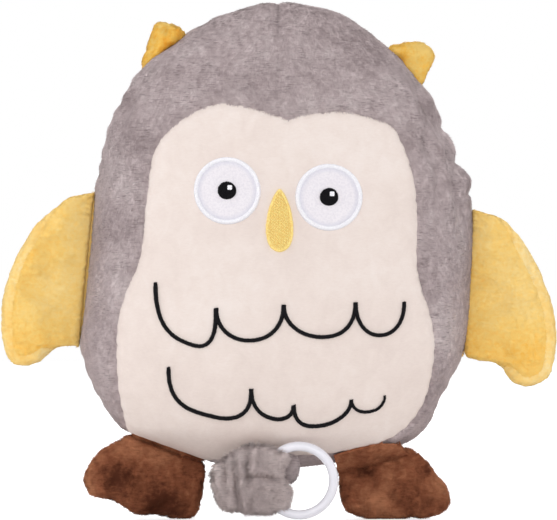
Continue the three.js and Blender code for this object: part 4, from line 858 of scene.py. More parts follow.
def body_relief(points):
    """How far the sewn cover stands off the plain body form, along its normal."""
    x, y, z = points.T
    total = bulged(points, BODY_BULGES) - BODY_DRAWN_IN
    # the seam round the cream panel, with its gathers
    front = y <= 0.01
    panel, along = np.full(len(points), 99.0), np.zeros(len(points))
    panel[front], along[front] = distance_to(points[front], PANEL_ON_BODY)
    total += valley(panel, PANEL_SEAM) + gathers(along, panel, 3 * lumps(points, 30, 14), PANEL_GATHERS)
    # the seams down the middle: over the head and the back, and at the belly's lowest part
    total += np.where((z > HEAD_SEAM_LOW) | (y > 0), valley(x, HEAD_SEAM), 0)
    total += np.where((z < BODY_BASE + BELLY_SEAM_TALL) & front, valley(x, BELLY_SEAM), 0)
    # the side seams, with their gathers
    free = free_of_limbs(x, z)
    for height, tall, out in SIDE_GATHERS:
        here = bell(z - height - 0.12 * y, tall) * bell(y, 15)
        total += out * here * (x > 0) * np.clip((z - GATHERED_ABOVE) / 4, 0, 1)
    calm = free * np.where((z > GATHERED_ABOVE + 2) & (x > 0), 0.3, 1)
    total += (valley(y, SIDE_SEAM) + gathers(z, y, 4 * lumps(points, 26, 15), SEAM_GATHERS)) * calm
    total += np.where(front, folded(points, FOLDS), folded(points, BACK_FOLDS))
    seam = bell(y, 6) * (1 - free)
    return np.maximum(total * (1 - seam) - LIMB_SEAM_SUNK * seam, -DEEPEST)


ROWS, SECTORS = ((230, 340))


def make_body():
    """The body's covers, cut apart along their seams: points, normals and triangles of each outer face."""
    plain, triangles = body_grid(ROWS, SECTORS)
    points = plain + normals_of(plain, triangles) * body_relief(plain)[:, None]
    signed = distance_to(plain[:, [0, 2]], PANEL_LINE)[0]
    signed = np.where(inside(plain[:, [0, 2]], PANEL_LINE), -signed, signed)
    # columns 6 to 8 hold the plain form, which the seams are cut on;
    # column 9 tells how far outside the cream panel a place lies
    skin = np.hstack([with_normals(points, triangles), plain, signed[:, None]])
    front = clipped(skin, triangles, skin[:, 7])
    grey = clipped(*front, -front[0][:, 9])
    return {
        "cream_panel": clipped(*front, front[0][:, 9]),
        "left_front_cover": clipped(*grey, grey[0][:, 6]),
        "right_front_cover": clipped(*grey, -grey[0][:, 6]),
        "back_cover": clipped(skin, triangles, -skin[:, 7]),
    }


GREY_NAP = {
    "sideways": lambda x: 0.35 * np.sign(x) * np.minimum(np.abs(x) / 60, 1), "down": 1,
    "swirl": 0.8, "patch": 26, "clump_turn": 0.6, "clump": 3.0, "jitter": 0.25,
    "lean": 1.33, "lean_patch": 0.14, "lean_jitter": 0.1,
    "length": 2.1, "width": 0.52, "ridge": 0.5, "sunk": 0.12,
}

BODY_TUFTS = 50000        # on each grey front cover, and on each half of the back

body_pieces = make_body()
for node, (points, triangles) in body_pieces.items():
    look = CREAM if node == "cream_panel" else GREY
    add_piece(node + "_plush", *shell(points, triangles, COVER), look, "owl_body", [node], 0.8)
for node, seed in (("left_front_cover", 101), ("right_front_cover", 111)):
    add_pile(node + "_pile", body_pieces[node], BODY_TUFTS, GREY_NAP, GREY, "owl_body", seed)
back_points, back_triangles = body_pieces["back_cover"]
for name, side, seed in (("back_cover_left_pile", 1, 121), ("back_cover_right_pile", -1, 131)):
    half = clipped(back_points, back_triangles, side * back_points[:, 6])
    add_pile(name, half, BODY_TUFTS, GREY_NAP, GREY, "owl_body", seed)

# Sewn pads: wings, feet and ears

GAP = 0.3
ROOT_RADIUS = 3
SHEET_SPACING = 2.4
LIMB_COVER = 1.2


def side_x(z, side):
    left, right, _, _ = section_at(z)
    return -left if side < 0 else right


DRAWN_IN = 6              # what lies this near a wing's seam is drawn in to it, and what lies farther is less


def wing_outline(side, shares, reach, height, top):
    """A wing's outline in the front view, and the straight line of its seam, from the top down.

    The outline's inner side is drawn in to the seam, where the plush is gathered.
    """
    shares = np.array(shares, float)
    root_z = top - np.array([0.03, 0.84]) * height
    root_x = side_x(root_z, side) - side * GAP * 2

    def seam_x(z):
        return root_x[0] + (root_x[1] - root_x[0]) * (root_z[0] - z) / (root_z[0] - root_z[1])

    z = top - shares[:, 1] * height
    seam = seam_x(z)
    x = side * np.maximum(side * seam_x(top) + reach * shares[:, 0], side * seam)
    off = np.abs(x - seam)
    x = x + (seam - x) * np.where(off < DRAWN_IN, 1, np.clip(1 - off / (2 * DRAWN_IN), 0, 1) ** 0.5)
    return np.column_stack([x, z]), np.column_stack([root_x, root_z])


LOW_ROWS = np.linspace(0, row_of(0.2), 400)


def lower_edge_z(x, side):
    """The height at which the body's underside is as wide as a place across."""
    width = half_section(LOW_ROWS)[0 if side < 0 else 1]
    return BODY_BASE + height_share(np.interp(np.abs(x), width, LOW_ROWS)) * BODY_HEIGHT


def foot_outline(side, shares, root_shares, seam_gap, width, height, inner_x):
    shares = np.array(shares, float)
    root_x = inner_x + side * np.array(root_shares) * width
    root_z = lower_edge_z(root_x, side) - seam_gap

    def seam_z(x):
        return root_z[0] + (root_z[1] - root_z[0]) * (x - root_x[0]) / (root_x[1] - root_x[0])

    x = inner_x + side * shares[:, 0] * width
    z = np.minimum(shares[:, 1] * height, seam_z(x))
    z = np.maximum(z - 0.5 * (1 - z / height), 0.0)
    return np.column_stack([x, z]), np.column_stack([root_x, root_z])


def pad_sheets(outline, spacing):
    """A flat sheet in an outline: its places, the edge's first, its triangles, and the edge's count."""
    edge = closed_curve(outline, spacing)
    low, high = edge.min(0), edge.max(0)
    rows = np.arange(low[1], high[1], spacing * 0.87)
    grid = np.array([(x + (k % 2) * spacing / 2, z) for k, z in enumerate(rows)
                     for x in np.arange(low[0], high[0], spacing)])
    grid = grid[inside(grid, edge)]
    grid = grid[distance_to(grid, edge)[0] > spacing * 0.6]
    flat = np.vstack([edge, grid])
    found = geometry.delaunay_2d_cdt([Vector(p) for p in flat], [], [list(range(len(edge)))], 1, 1e-6)
    places = np.array([tuple(v) for v in found[0]])
    triangles = np.array([f for f in found[2]])
    if len(places) != len(flat):
        raise ValueError("an outline crosses itself")
    return places, triangles, len(edge)


CLOTH = {
    "quality": 6, "mass": 0.3, "tension_stiffness": 15, "compression_stiffness": 15, "shear_stiffness": 8,
    "bending_stiffness": 0.6, "air_damping": 4, "use_pressure": True, "uniform_pressure_force": 4.0,
    "vertex_group_mass": "seam", "pin_stiffness": 1.0,
}
CLOTH_FRAMES = 20


def inflate(name, points, triangles, pinned, slack, cap):
    """Blows a sewn pad up with Blender's cloth and gives its points back."""
    obj = new_object(name, triangle_mesh(name, points, triangles))
    obj.vertex_groups.new(name="seam").add([int(i) for i in pinned], 1.0, "REPLACE")
    modifier = obj.modifiers.new("cloth", "CLOTH")
    for key, value in CLOTH.items():
        setattr(modifier.settings, key, value)
    modifier.settings.shrink_min = -slack
    modifier.settings.effector_weights.gravity = 0
    modifier.collision_settings.use_collision = False
    modifier.point_cache.frame_start = 1
    modifier.point_cache.frame_end = CLOTH_FRAMES
    scene = bpy.context.scene
    scene.frame_start, scene.frame_end = 1, CLOTH_FRAMES
    for step in range(1, CLOTH_FRAMES + 1):
        scene.frame_set(step)
    moved = made_by(obj)[0] - points
    scene.frame_set(1)
    far = np.linalg.norm(moved, axis=1, keepdims=True)
    return points + moved * np.minimum(1, cap / np.maximum(far, 1e-9))


def subdivided(points, triangles):
    """One smoothing subdivision."""
    obj = new_object("smoothing", triangle_mesh("smoothing", points, triangles))
    obj.modifiers.new("smoothing", "SUBSURF").levels = 1
    return made_by(obj)


def line_distance(points, line):
    (ax, az), (bx, bz) = line
    run = np.array([bx - ax, bz - az])
    return np.abs((points[:, 0] - ax) * run[1] - (points[:, 1] - az) * run[0]) / np.linalg.norm(run)


def pad_half(places, outline, thickness, power, root=None, slope=0.0):
    """Half the thickness that a sewn pad has at places in the front view."""
    middle = outline.mean(0)
    ray = places - middle
    angle = np.arctan2(ray[:, 1], ray[:, 0])
    edge = outline - middle
    edge_angle = np.arctan2(edge[:, 1], edge[:, 0])
    order = np.argsort(edge_angle)
    reach = np.interp(angle, edge_angle[order], np.linalg.norm(edge[order], axis=1), period=TWO_PI)
    share = np.clip(np.linalg.norm(ray, axis=1) / reach, 0, 1)
    half = thickness / 2 * (1 - share**power) ** (1 / power)
    if root is not None:
        # the slope from the root runs into the pad's dome without an edge
        slope_half = ROOT_RADIUS + slope * line_distance(places, root)
        half = -np.log(np.exp(-0.5 * half) + np.exp(-0.5 * slope_half)) / 0.5
    return np.maximum(half, 0.6 * np.minimum(distance_to(places, outline)[0], 2))


FLAT_START = 0.55         # the share of its thickness at which a pad starts to be blown up
MOST_SWELL = 0.6          # how far cloth may move, as a share of the pad's thickness
FULL_SHARE = 90           # the percentile of a pad's points that is brought to its solid's thickness
ROOT_MORE, SLOPE_MORE = 0.3, 1.15         # how much fuller than its solid cloth may be towards its root
ROOT_ROUNDING = 1.5       # the pad is rounded this near its root
ROOT_REACH, ROOT_FADE = 20, 18            # how far from the root the pad is filled up, and how that fades
THINNEST_EDGE = 0.1       # a pad's edge, thinner than this, stays as it is


def make_pad(name, outline, thickness, power, root=None, slope=0.0, slack=0.05, shaped=0.6):
    """A stuffed pad, as points, triangles and edge line: simulated cloth of its solid's thickness."""
    places, front, edge_count = pad_sheets(outline, SHEET_SPACING)
    edge = places[:edge_count]
    half = pad_half(places, edge, thickness, power, root, slope)
    n = len(places)
    back_index = np.arange(n) + n - edge_count
    back_index[:edge_count] = np.arange(edge_count)
    a, b, c = (places[front[:, k]] for k in range(3))
    turn = (b - a)[:, 0] * (c - a)[:, 1] - (b - a)[:, 1] * (c - a)[:, 0]
    front[turn < 0] = front[turn < 0][:, ::-1]
    start = half * FLAT_START
    points = np.vstack([
        np.column_stack([places[:, 0], -start, places[:, 1]]),
        np.column_stack([places[edge_count:, 0], start[edge_count:], places[edge_count:, 1]]),
    ])
    points[:edge_count, 1] = 0
    triangles = np.concatenate([front, back_index[front][:, ::-1]])
    blown = inflate(name, points, triangles, range(edge_count), slack, thickness * MOST_SWELL)
    swelled = np.abs(blown[:, 1])
    limit = np.concatenate([half, half[edge_count:]])
    scale = np.percentile(limit, FULL_SHARE) / max(np.percentile(swelled, FULL_SHARE), 1e-6)
    y = blown[:, 1] * scale
    side = np.sign(points[:, 1])
    y = np.abs(y) * shaped + limit * (1 - shaped)
    if root is not None:
        y = np.minimum(y, ROOT_RADIUS + ROOT_MORE
                       + slope * SLOPE_MORE * line_distance(blown[:, [0, 2]], root))
    points = np.column_stack([blown[:, 0], y * side, blown[:, 2]])
    points, triangles = subdivided(points, triangles)
    if root is not None:
        away = line_distance(points[:, [0, 2]], root)
        rounded = ROOT_RADIUS * np.sqrt(np.clip(away / ROOT_ROUNDING, 0, 1)) + slope * away
        half_now = np.abs(points[:, 1])
        near = np.clip((ROOT_REACH - away) / ROOT_FADE, 0, 1)
        fuller = half_now + (np.maximum(half_now, rounded) - half_now) * near
        points[:, 1] = np.where(half_now > THINNEST_EDGE, np.sign(points[:, 1]) * fuller, points[:, 1])
    return points, triangles, edge


def edge_value(points, edge):
    """How far a place lies from the pad's edge: below zero on the front sheet, above zero on the back one."""
    far = distance_to(points[:, [0, 2]], edge)[0]
    far = np.where(inside(points[:, [0, 2]], edge) & (far > 0.35), far, 0)
    return np.where(points[:, 1] < 0, -far, far)


FILLING_SHRUNK = (0.93, 1, 0.93)          # a limb's filling beside its covers, in width, depth and height
THINNEST_FILLING = 0.15
FOLDS_START = 3           # folds and bulges of a limb grow over this distance from its root
LIMB_SEAM_WIDTH = 1.5


def add_limb(name, outline, root, kind, seed):
    """A wing or a foot: two covers, cut apart along the seam, the filling, and the pile of each cover."""
    thickness, power, slope, slack = kind["pad"]
    points, triangles, edge = make_pad(name, outline, thickness, power, root, slope, slack)
    seam = edge_value(points, edge) + kind["rim"](points)
    relief = bulged(points, kind["bulges"], folded(points, kind["folds"]))
    relief = relief * np.clip(line_distance(points[:, [0, 2]], root) / FOLDS_START, 0, 1)
    relief = relief + valley(seam, (kind["seam_depth"], LIMB_SEAM_WIDTH))
    points = points + normals_of(points, triangles) * relief[:, None]
    skin = np.hstack([with_normals(points, triangles), seam[:, None]])
    faces = [clipped(skin, triangles, side * skin[:, 6]) for side in (1, -1)]
    sheets = list(zip(("front", "back"), faces, kind["looks"]))
    for part, face, look in sheets:
        cover = f"{name}_{part}_cover"
        add_piece(cover + "_plush", *shell(*face, LIMB_COVER), look, name, [cover], 0.7)
    middle = points.mean(0)
    stuffed = middle + (points - middle) * FILLING_SHRUNK
    thinner = np.maximum(np.abs(points[:, 1]) - FILLING_INSET, THINNEST_FILLING)
    stuffed[:, 1] = np.sign(points[:, 1]) * (thinner + 0.15 * lumps(points, 4, 77))
    add_piece(name + "_filling_fibre", stuffed, triangles, FILL, name, [name + "_filling"], 0.7)
    for k, (part, face, look) in enumerate(sheets):
        add_pile(f"{name}_{part}_pile", face, kind["tufts"], kind["nap"], look, name, seed + 10 * k)


LEFT_WING = [
    (0, 0.035), (0.11, 0.004), (0.282, 0.034), (0.462, 0.109), (0.643, 0.2), (0.779, 0.3),
    (0.876, 0.407), (0.959, 0.544), (1, 0.69), (0.994, 0.833), (0.955, 0.94), (0.866, 0.992),
    (0.728, 1), (0.592, 0.975), (0.493, 0.936), (0.405, 0.905), (0.3, 0.905), (0.15, 0.89),
    (0.1, 0.8), (0.07, 0.6), (0.04, 0.4), (0.02, 0.2),
]
RIGHT_WING = [
    (0, 0.03), (0.084, 0), (0.19, 0.011), (0.334, 0.048), (0.49, 0.111), (0.614, 0.186),
    (0.738, 0.289), (0.861, 0.422), (0.96, 0.56), (1, 0.7), (0.985, 0.815), (0.94, 0.919),
    (0.831, 0.975), (0.675, 1), (0.543, 0.99), (0.443, 0.955), (0.36, 0.9), (0.25, 0.863),
    (0.1, 0.846), (0, 0.8), (0, 0.55), (0, 0.28),
]
LEFT_FOOT = [
    (0.02, 0.665), (0.03, 0.4), (0.045, 0.25), (0.07, 0.1), (0.13, 0.02), (0.21, -0.01), (0.3, 0),
    (0.4, 0.05), (0.5, 0.05), (0.58, 0.065), (0.67, 0.14), (0.74, 0.2), (0.87, 0.245),
    (0.955, 0.3), (1, 0.45), (0.97, 0.58), (0.91, 0.71), (0.82, 0.83), (0.72, 0.92), (0.63, 1),
    (0.42, 0.9), (0.2, 0.78),
]
RIGHT_FOOT = [
    (-0.01, 0.8), (0.03, 0.6), (0.04, 0.35), (0.08, 0.15), (0.17, 0.06), (0.3, 0.01), (0.42, -0.01),
    (0.54, -0.01), (0.65, 0.03), (0.77, 0.02), (0.9, 0.06), (0.99, 0.17), (1, 0.31), (0.967, 0.49),
    (0.885, 0.645), (0.8, 0.8), (0.7, 0.93), (0.6, 1), (0.4, 0.95), (0.2, 0.87),
]
LEFT_EAR = [
    (0, 0.07), (0.06, 0.33), (0.14, 0.617), (0.312, 0.969), (0.51, 1), (0.802, 0.927), (1, 0.721),
    (0.86, 0.46), (0.55, 0.16), (0.22, -0.06),
]
RIGHT_EAR = [
    (0, 0.923), (0.171, 0.952), (0.44, 0.985), (0.711, 1), (0.958, 0.835), (1, 0.648),
    (0.852, 0.293), (0.681, 0.062), (0.51, 0), (0.36, 0.1), (0.14, 0.42), (0.02, 0.7),
]

left_wing_line, left_wing_root = wing_outline(-1, LEFT_WING, 53.4, 98.6, BODY_BASE + 0.5924 * BODY_HEIGHT)
right_wing_line, right_wing_root = wing_outline(1, RIGHT_WING, 48.4, 101.2, BODY_BASE + 0.5569 * BODY_HEIGHT)
left_foot_line, left_foot_root = foot_outline(-1, LEFT_FOOT, (0.02, 0.63), 0.7, 70.4, BODY_BASE + 20.4, -39.2)
right_foot_line, right_foot_root = foot_outline(1, RIGHT_FOOT, (0.02, 0.6), 1.5, 64.6, BODY_BASE + 12.4, 32)

# Gathers and dents of the limbs, given as the body's folds are
WING_FOLDS = [
    (-104, 179.5, 5, 0.9, 25, 0.9), (-104.5, 176.5, 5.5, 0.9, 10, 0.9), (-105, 173.5, 5, 0.9, -5, 0.8),
    (-105.5, 170, 4.5, 0.9, -15, 0.6), (-130.5, 151.8, 9, 5, -35, 1.5), (-116.5, 94.6, 13, 4, 14, 1.8),
    (-143, 120, 14, 6, 80, 0.8),
    (110.5, 166.5, 6, 1.1, -20, 1.1), (110, 162.5, 5, 1, -5, 0.9), (111, 169.5, 5, 1, -40, 0.8),
    (113, 133.8, 5, 2, 5, 1.4), (118, 100, 12, 4, -20, 1.2), (134, 138, 14, 6, 110, 0.8),
]
FOOT_FOLDS = [
    (-92, 22, 9, 4, 70, 1.3), (-64, 9.5, 6, 2.2, 20, 1.6), (-72, 26, 14, 6, 30, 1.0),
    (-50, 15, 8, 4, 100, 1.0),
    (50, 15, 8, 2.6, 60, 1.4), (63, 12, 8, 2.6, 100, 1.4), (76, 17, 8, 3, 120, 1.3), (82, 25, 7, 3, 150, 1.1),
]


def wing_rim(p):
    """How far the back sheet, a paler copy of the yellow plush painted as rim light, reaches round to the
    front: along the outer edge only.
    """
    outer = np.clip((np.abs(p[:, 0]) - 122) / 12, 0, 1)
    return 6.2 * outer * outer * (3 - 2 * outer)


def no_rim(p):
    return np.zeros(len(p))


# painted rim light: a paler copy of the yellow plush for the wings' back sheets, which shows as a paler band
# along their outer edges
YELLOW_PAINTED_RIM_LIGHT = plush("yellow_plush_painted_rim_light", srgb(254, 206, 112), srgb(255, 217, 136), srgb(255, 227, 162),
                   patch=40, mottle=420, sheen=0.8, relief=0.0004), "yellow_plush"
# painted shade in the ears' creases and painted light higher on them
EAR_YELLOW = plush("ear_plush", srgb(250, 172, 56), srgb(255, 200, 90), srgb(255, 216, 126),
                   patch=60, mottle=420, sheen=1.0, relief=0.0004, painted_light_and_shade=[
                       (-57, 262, 12, -0.12), (-64, 279, 10, 0.2), (68, 254, 7, -0.1),
                       (80, 266, 11, 0.16)]), "yellow_plush"
WING_NAP = {
    "sideways": lambda x: 0.9 * np.sign(x), "down": 0.6,
    "swirl": 0.4, "patch": 34, "clump_turn": 0.35, "clump": 2.6, "jitter": 0.2,
    "lean": 1.44, "lean_patch": 0.04, "lean_jitter": 0.06,
    "length": 1.6, "width": 0.42, "ridge": 0.35, "sunk": 0.06, "glance": 0.08,
}
EAR_NAP = dict(WING_NAP, lean=1.36, lean_jitter=0.1, length=1.8, clump_turn=0.5)
FOOT_NAP = {
    "sideways": lambda x: 0.6 * np.sign(x), "down": 0.7,
    "swirl": 1.6, "patch": 18, "clump_turn": 1.4, "clump": 3.0, "jitter": 0.35,
    "lean": 1.15, "lean_patch": 0.3, "lean_jitter": 0.16,
    "length": 2.8, "width": 0.56, "ridge": 0.7, "sunk": 0.2,
}

# the wings' back sheets wear the paler copy of the yellow plush, which is painted rim light
WING = {
    "pad": (21, 2, 0.32, 0.04), "looks": (YELLOW, YELLOW_PAINTED_RIM_LIGHT), "rim": wing_rim, "seam_depth": 0.5,
    "bulges": ((0.5, 24, 41), (0.25, 9, 42)), "folds": WING_FOLDS, "nap": WING_NAP, "tufts": 12000,
}
FOOT = {
    "pad": (31, 3, 0.52, 0.06), "looks": (BROWN, BROWN), "rim": no_rim, "seam_depth": 1.4,
    "bulges": ((0.8, 22, 51), (0.5, 10, 52)), "folds": FOOT_FOLDS, "nap": FOOT_NAP, "tufts": 16000,
}
add_limb("left_wing", left_wing_line, left_wing_root, WING, 201)
add_limb("right_wing", right_wing_line, right_wing_root, WING, 221)
add_limb("left_foot", left_foot_line, left_foot_root, FOOT, 241)
add_limb("right_foot", right_foot_line, right_foot_root, FOOT, 261)


# Strips of plush that join the limbs to the body across their seams


def tube(line, across, half_across, half_depth, sides=20):
    """A closed oval roll along a line, with rounded ends: points and triangles."""
    steps = len(line)
    angle = np.arange(sides) / sides * TWO_PI
    end = np.minimum(np.arange(steps), np.arange(steps)[::-1]) / (steps - 1)
    size = np.sqrt(np.clip(1 - (1 - np.clip(end / 0.06, 0, 1)) ** 2, 0.05, 1))[:, None, None]
    c, s = np.cos(angle)[:, None], np.sin(angle)[:, None]
    oval = c * across * half_across + s * np.array([0, half_depth, 0])
    points, triangles = capped(line[:, None] + size * oval[None], line[[0, -1]])
    return points, facing_out(points, triangles)


def add_joining(name, piece, skin, look, nap, count, seed):
    """Plush that is sewn to the body and to a limb, with its pile."""
    plush_piece = add_piece(name, *piece, look)
    tufts = add_pile(name + "_pile", skin, count, nap, look, None, seed)
    for obj in (plush_piece, tufts):
        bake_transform(obj)


STRIP_TUFTS = 2000


def add_strip(limb, root, outward, half_across, half_depth, grow, inset, look, nap, seed):
    """A roll of plush in the seam of a limb.

    It runs past the seam's ends by grow, and lies inwards from it by inset.
    """
    run = unit(root[1] - root[0])
    low, high = root[0] - run * grow, root[1] + run * grow
    across = np.array([run[1], 0.0, -run[0]])
    if across[0] * outward[0] + across[2] * outward[1] < 0:
        across = -across
    flat = low + (high - low) * np.linspace(0, 1, 60)[:, None]
    line = np.column_stack([flat[:, 0], np.zeros(len(flat)), flat[:, 1]])
    points, triangles = tube(line - inset * across, across, half_across, half_depth)
    points = points + normals_of(points, triangles) * (0.25 * lumps(points, 6, seed))[:, None]
    skin = (with_normals(points, triangles), triangles)
    add_joining(limb + "_seam", (points, triangles), skin, look, nap, STRIP_TUFTS, seed)


add_strip("left_wing", left_wing_root, (-1, 0), 1.8, 1.2, -1.5, -0.4, YELLOW, WING_NAP, 281)
add_strip("right_wing", right_wing_root, (1, 0), 1.8, 1.2, -1.5, -0.4, YELLOW, WING_NAP, 283)
add_strip("left_foot", left_foot_root, (0, -1), 2.8, 2.6, -2, 0, BROWN, FOOT_NAP, 285)
add_strip("right_foot", right_foot_root, (0, -1), 3.4, 2.6, -2, 0, BROWN, FOOT_NAP, 287)

FLAP_ROWS, FLAP_COLUMNS = 14, 48
FLAP_LIFT = 0.9           # how far the flap's upper edge lies off the belly
FLAP_OVERLAP = 5          # how far its lower edge lies past the seam
FLAP_FRONT = -5.6         # that edge's y
FLAP_BULGE = (0, -3.4, -0.6)
FLAP_THICKNESS = 1.0


def add_flap(limb, root, top_line, look, nap, count, seed):
    """The upper front of a foot, from the belly's underside over the seam."""
    top = evenly(np.array(top_line, float), 0.1)
    top = top[np.linspace(0, len(top) - 1, FLAP_COLUMNS).round().astype(int)]
    upper = np.column_stack([top[:, 0], front_of(top[:, 0], top[:, 1]) - FLAP_LIFT, top[:, 1]])
    run = unit(root[1] - root[0])
    down = np.array([run[1], -run[0]])
    if down[1] > 0:
        down = -down
    low = root[0] + (root[1] - root[0]) * np.linspace(0, 1, FLAP_COLUMNS)[:, None] + down * FLAP_OVERLAP
    lower = np.column_stack([low[:, 0], np.full(len(low), FLAP_FRONT), low[:, 1]])
    s = np.linspace(0, 1, FLAP_ROWS)[:, None, None]
    bulge = np.sin(math.pi * s) * np.array(FLAP_BULGE)
    points = (upper + (lower - upper) * s + bulge).reshape(-1, 3)
    triangles = grid_faces(FLAP_ROWS, FLAP_COLUMNS, closed=False)
    outward = normals_of(points, triangles)
    if outward[:, 1].mean() > 0:
        triangles, outward = triangles[:, ::-1], -outward
    points = points + outward * (0.5 * lumps(points, 7, seed))[:, None]
    skin = (with_normals(points, triangles), triangles)
    add_joining(limb + "_flap", shell(*skin, FLAP_THICKNESS), skin, look, nap, count, seed)


add_flap("right_foot", right_foot_root, [(31, 36), (42, 39.6), (54, 42.2), (62, 42.8), (68, 42.4)],
         BROWN, FOOT_NAP, 2600, 291)


def ear_line(side, shares, seat_share, overhang, height, width=26.3):
    base = BODY_BASE + seat_share * BODY_HEIGHT
    edge = side_x(base, side) + side * overhang
    left = edge if side < 0 else edge - width
    shares = np.array(shares, float)
    return np.column_stack([left + shares[:, 0] * width, base + shares[:, 1] * height])


def add_cushion(name, outline, thickness, power, slack, shaped, y, bulge, folds, look, fill, nap, count, seed,
                body="owl_body", replaced=()):
    """A small stuffed piece at a depth y, with folds in its front, and its pile."""
    points, triangles, _ = make_pad(name, outline, thickness, power, slack=slack, shaped=shaped)
    points[:, 1] += y
    relief = bulged(points, [bulge], np.where(points[:, 1] < y, folded(points, folds), 0))
    points = points + normals_of(points, triangles) * relief[:, None]
    add_piece(name + "_plush", points, triangles, look, body, replaced, fill)
    add_pile(name + "_pile", (with_normals(points, triangles), triangles), count, nap, look, body, seed)


def add_ear(name, outline, folds, seed):
    add_cushion(name, outline, thickness=17, power=2, slack=0.05, shaped=0.5, y=0, bulge=(0.5, 9, seed),
                folds=folds, look=EAR_YELLOW, fill=0.5, nap=EAR_NAP, count=6000, seed=seed, replaced=[name])


LEFT_EAR_FOLDS = [(-58, 262, 11, 3.2, 38, 2.6), (-70, 254, 7, 3, 40, 2), (-62, 273, 6, 2.5, 75, 1.2)]
RIGHT_EAR_FOLDS = [(67.5, 257, 6, 3.4, 60, 2), (73, 248, 7, 3, -62, 1.4), (76, 262, 9, 3, 25, 0.8)]
add_ear("left_ear", ear_line(-1, LEFT_EAR, 0.845, -1.2, 28.7), LEFT_EAR_FOLDS, 301)
add_ear("right_ear", ear_line(1, RIGHT_EAR, 0.8076, 4.9, 27.3), RIGHT_EAR_FOLDS, 311)

# Stuffing of the body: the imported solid's hollow form, with loose fibres

STUFFING_VOXEL = 2.6
STUFFING_FIBRES, STUFFING_INSET = 0.35, 1.6


def add_stuffing(node):
    obj = new_object(node + "_fibre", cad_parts[node].data.copy())
    modifier = obj.modifiers.new("even", "REMESH")
    modifier.mode = "VOXEL"
    modifier.voxel_size = STUFFING_VOXEL * MM
    points, triangles = made_by(obj)
    relief = STUFFING_FIBRES * lumps(points, 5, 61) - STUFFING_INSET
    points += normals_of(points, triangles) * relief[:, None]
    add_piece(node + "_fibre", points, triangles, FILL, "owl_body", [node], 0.8)


add_stuffing("body_filling")

# Face and embroidery


def skin_at(x, z, off):
    """Places on the sewn front of the body, raised by off."""
    x, z, off = np.broadcast_arrays(np.asarray(x, float), np.asarray(z, float), np.asarray(off, float))
    step = 0.5
    base = np.stack([x, front_of(x, z), z], -1).reshape(-1, 3)
    along_x = (front_of(x + step, z) - front_of(x - step, z)) / (2 * step)
    along_z = (front_of(x, z + step) - front_of(x, z - step)) / (2 * step)
    normal = unit(np.stack([along_x, -np.ones_like(along_x), along_z], -1).reshape(-1, 3))
    points = base + normal * (body_relief(base) + off.ravel())[:, None]
    return points.reshape(*x.shape, 3)


THREAD_END = 0.45         # a thread's thickness at its ends, as a share
THREAD_POINT = 0.6        # how far its ends' points reach, in radii


def threads(paths, radius, sides=6):
    """Closed round threads along paths, an array of threads by points by place; ends close in a point."""
    paths = np.asarray(paths, float)
    count, steps, _ = paths.shape
    run = unit(np.gradient(paths, axis=1))
    across = unit(np.cross(run, (0.0, -1.0, 0.02)))
    up = np.cross(across, run)
    angle = np.arange(sides) / sides * TWO_PI
    radius = np.broadcast_to(np.asarray(radius, float), (count, steps))
    swell = np.ones(steps)
    swell[[0, -1]] = THREAD_END
    ring = (np.cos(angle)[:, None] * across[:, :, None] + np.sin(angle)[:, None] * up[:, :, None])
    rings = paths[:, :, None] + (radius * swell)[:, :, None, None] * ring
    past = radius[:, [0, -1], None] * np.array([-THREAD_POINT, THREAD_POINT])[:, None]
    ends = paths[:, [0, -1]] + run[:, [0, -1]] * past
    each = np.concatenate([rings.reshape(count, -1, 3), ends], axis=1)
    faces = capped(rings[0], ends[0])[1]
    total = faces[None] + (np.arange(count) * each.shape[1])[:, None, None]
    return each.reshape(-1, 3), total.reshape(-1, 3)


def joined(*parts):
    points, triangles, start = [], [], 0
    for p, t in parts:
        points.append(p[:, :3])
        triangles.append(t + start)
        start += len(p)
    return np.vstack(points), np.concatenate(triangles)


def add_part(name, parts, look, replaced=(), body="owl_body"):
    add_piece(name, *joined(*[(p, facing_out(p, t)) for p, t in parts]), look, body, replaced)


def stitches(starts, ends, rise, sink=0.25, steps=5):
    """Paths of stitches that arch from one place of the front view to another over the cover."""
    t = np.linspace(0, 1, steps)
    flat = starts[:, None] + (ends - starts)[:, None] * t[None, :, None]
    arch = -sink + (rise + sink) * np.sin(np.pi * t) ** 0.5
    return skin_at(flat[..., 0], flat[..., 1], arch)


def patch_disc(outline, low, top, rings=10):
    """A closed thin patch whose edge is an outline: domed face, edge and flat underside."""
    middle = outline.mean(0)
    shares = np.linspace(0, 1, rings + 1)[1:] ** 0.7
    places = middle + (outline - middle)[None] * shares[:, None, None]
    crown = low + (top - low) * (1 - shares**6) ** (1 / 3)
    under = low - 0.15
    face = skin_at(places[..., 0], places[..., 1], crown[:, None])
    underside = skin_at(places[..., 0], places[..., 1], under)
    return capped(np.concatenate([face, underside[::-1]]), skin_at(middle[0], middle[1], [top, under]))


def round_line(x, z, radius, sides, wobble=0.0, seed=0):
    angle = np.arange(sides) / sides * TWO_PI
    rng = np.random.default_rng(seed)
    waves = np.sin(2 * angle + rng.uniform(0, 6)) + 0.6 * np.sin(3 * angle + rng.uniform(0, 6))
    r = radius * (1 + wobble * waves)
    return np.column_stack([x + r * np.cos(angle), z + r * np.sin(angle)])


def satin_border(outline, width, pitch, rise, radius, seed, slant=0.35):
    """Satin stitches across a closed line, from it inwards."""
    line = evenly(np.vstack([outline, outline[:1]]), pitch)[:-1]
    run = unit(np.roll(line, -1, axis=0) - np.roll(line, 1, axis=0))
    inward = np.column_stack([-run[:, 1], run[:, 0]])
    if ((line.mean(0) - line) * inward).sum() < 0:
        inward = -inward
    rng = np.random.default_rng(seed)
    outer = line - inward * rng.uniform(-0.12, 0.18, len(line))[:, None]
    inner = line + inward * (width + rng.uniform(-0.12, 0.12, len(line)))[:, None] + run * slant
    return threads(stitches(outer, inner, rise), radius)


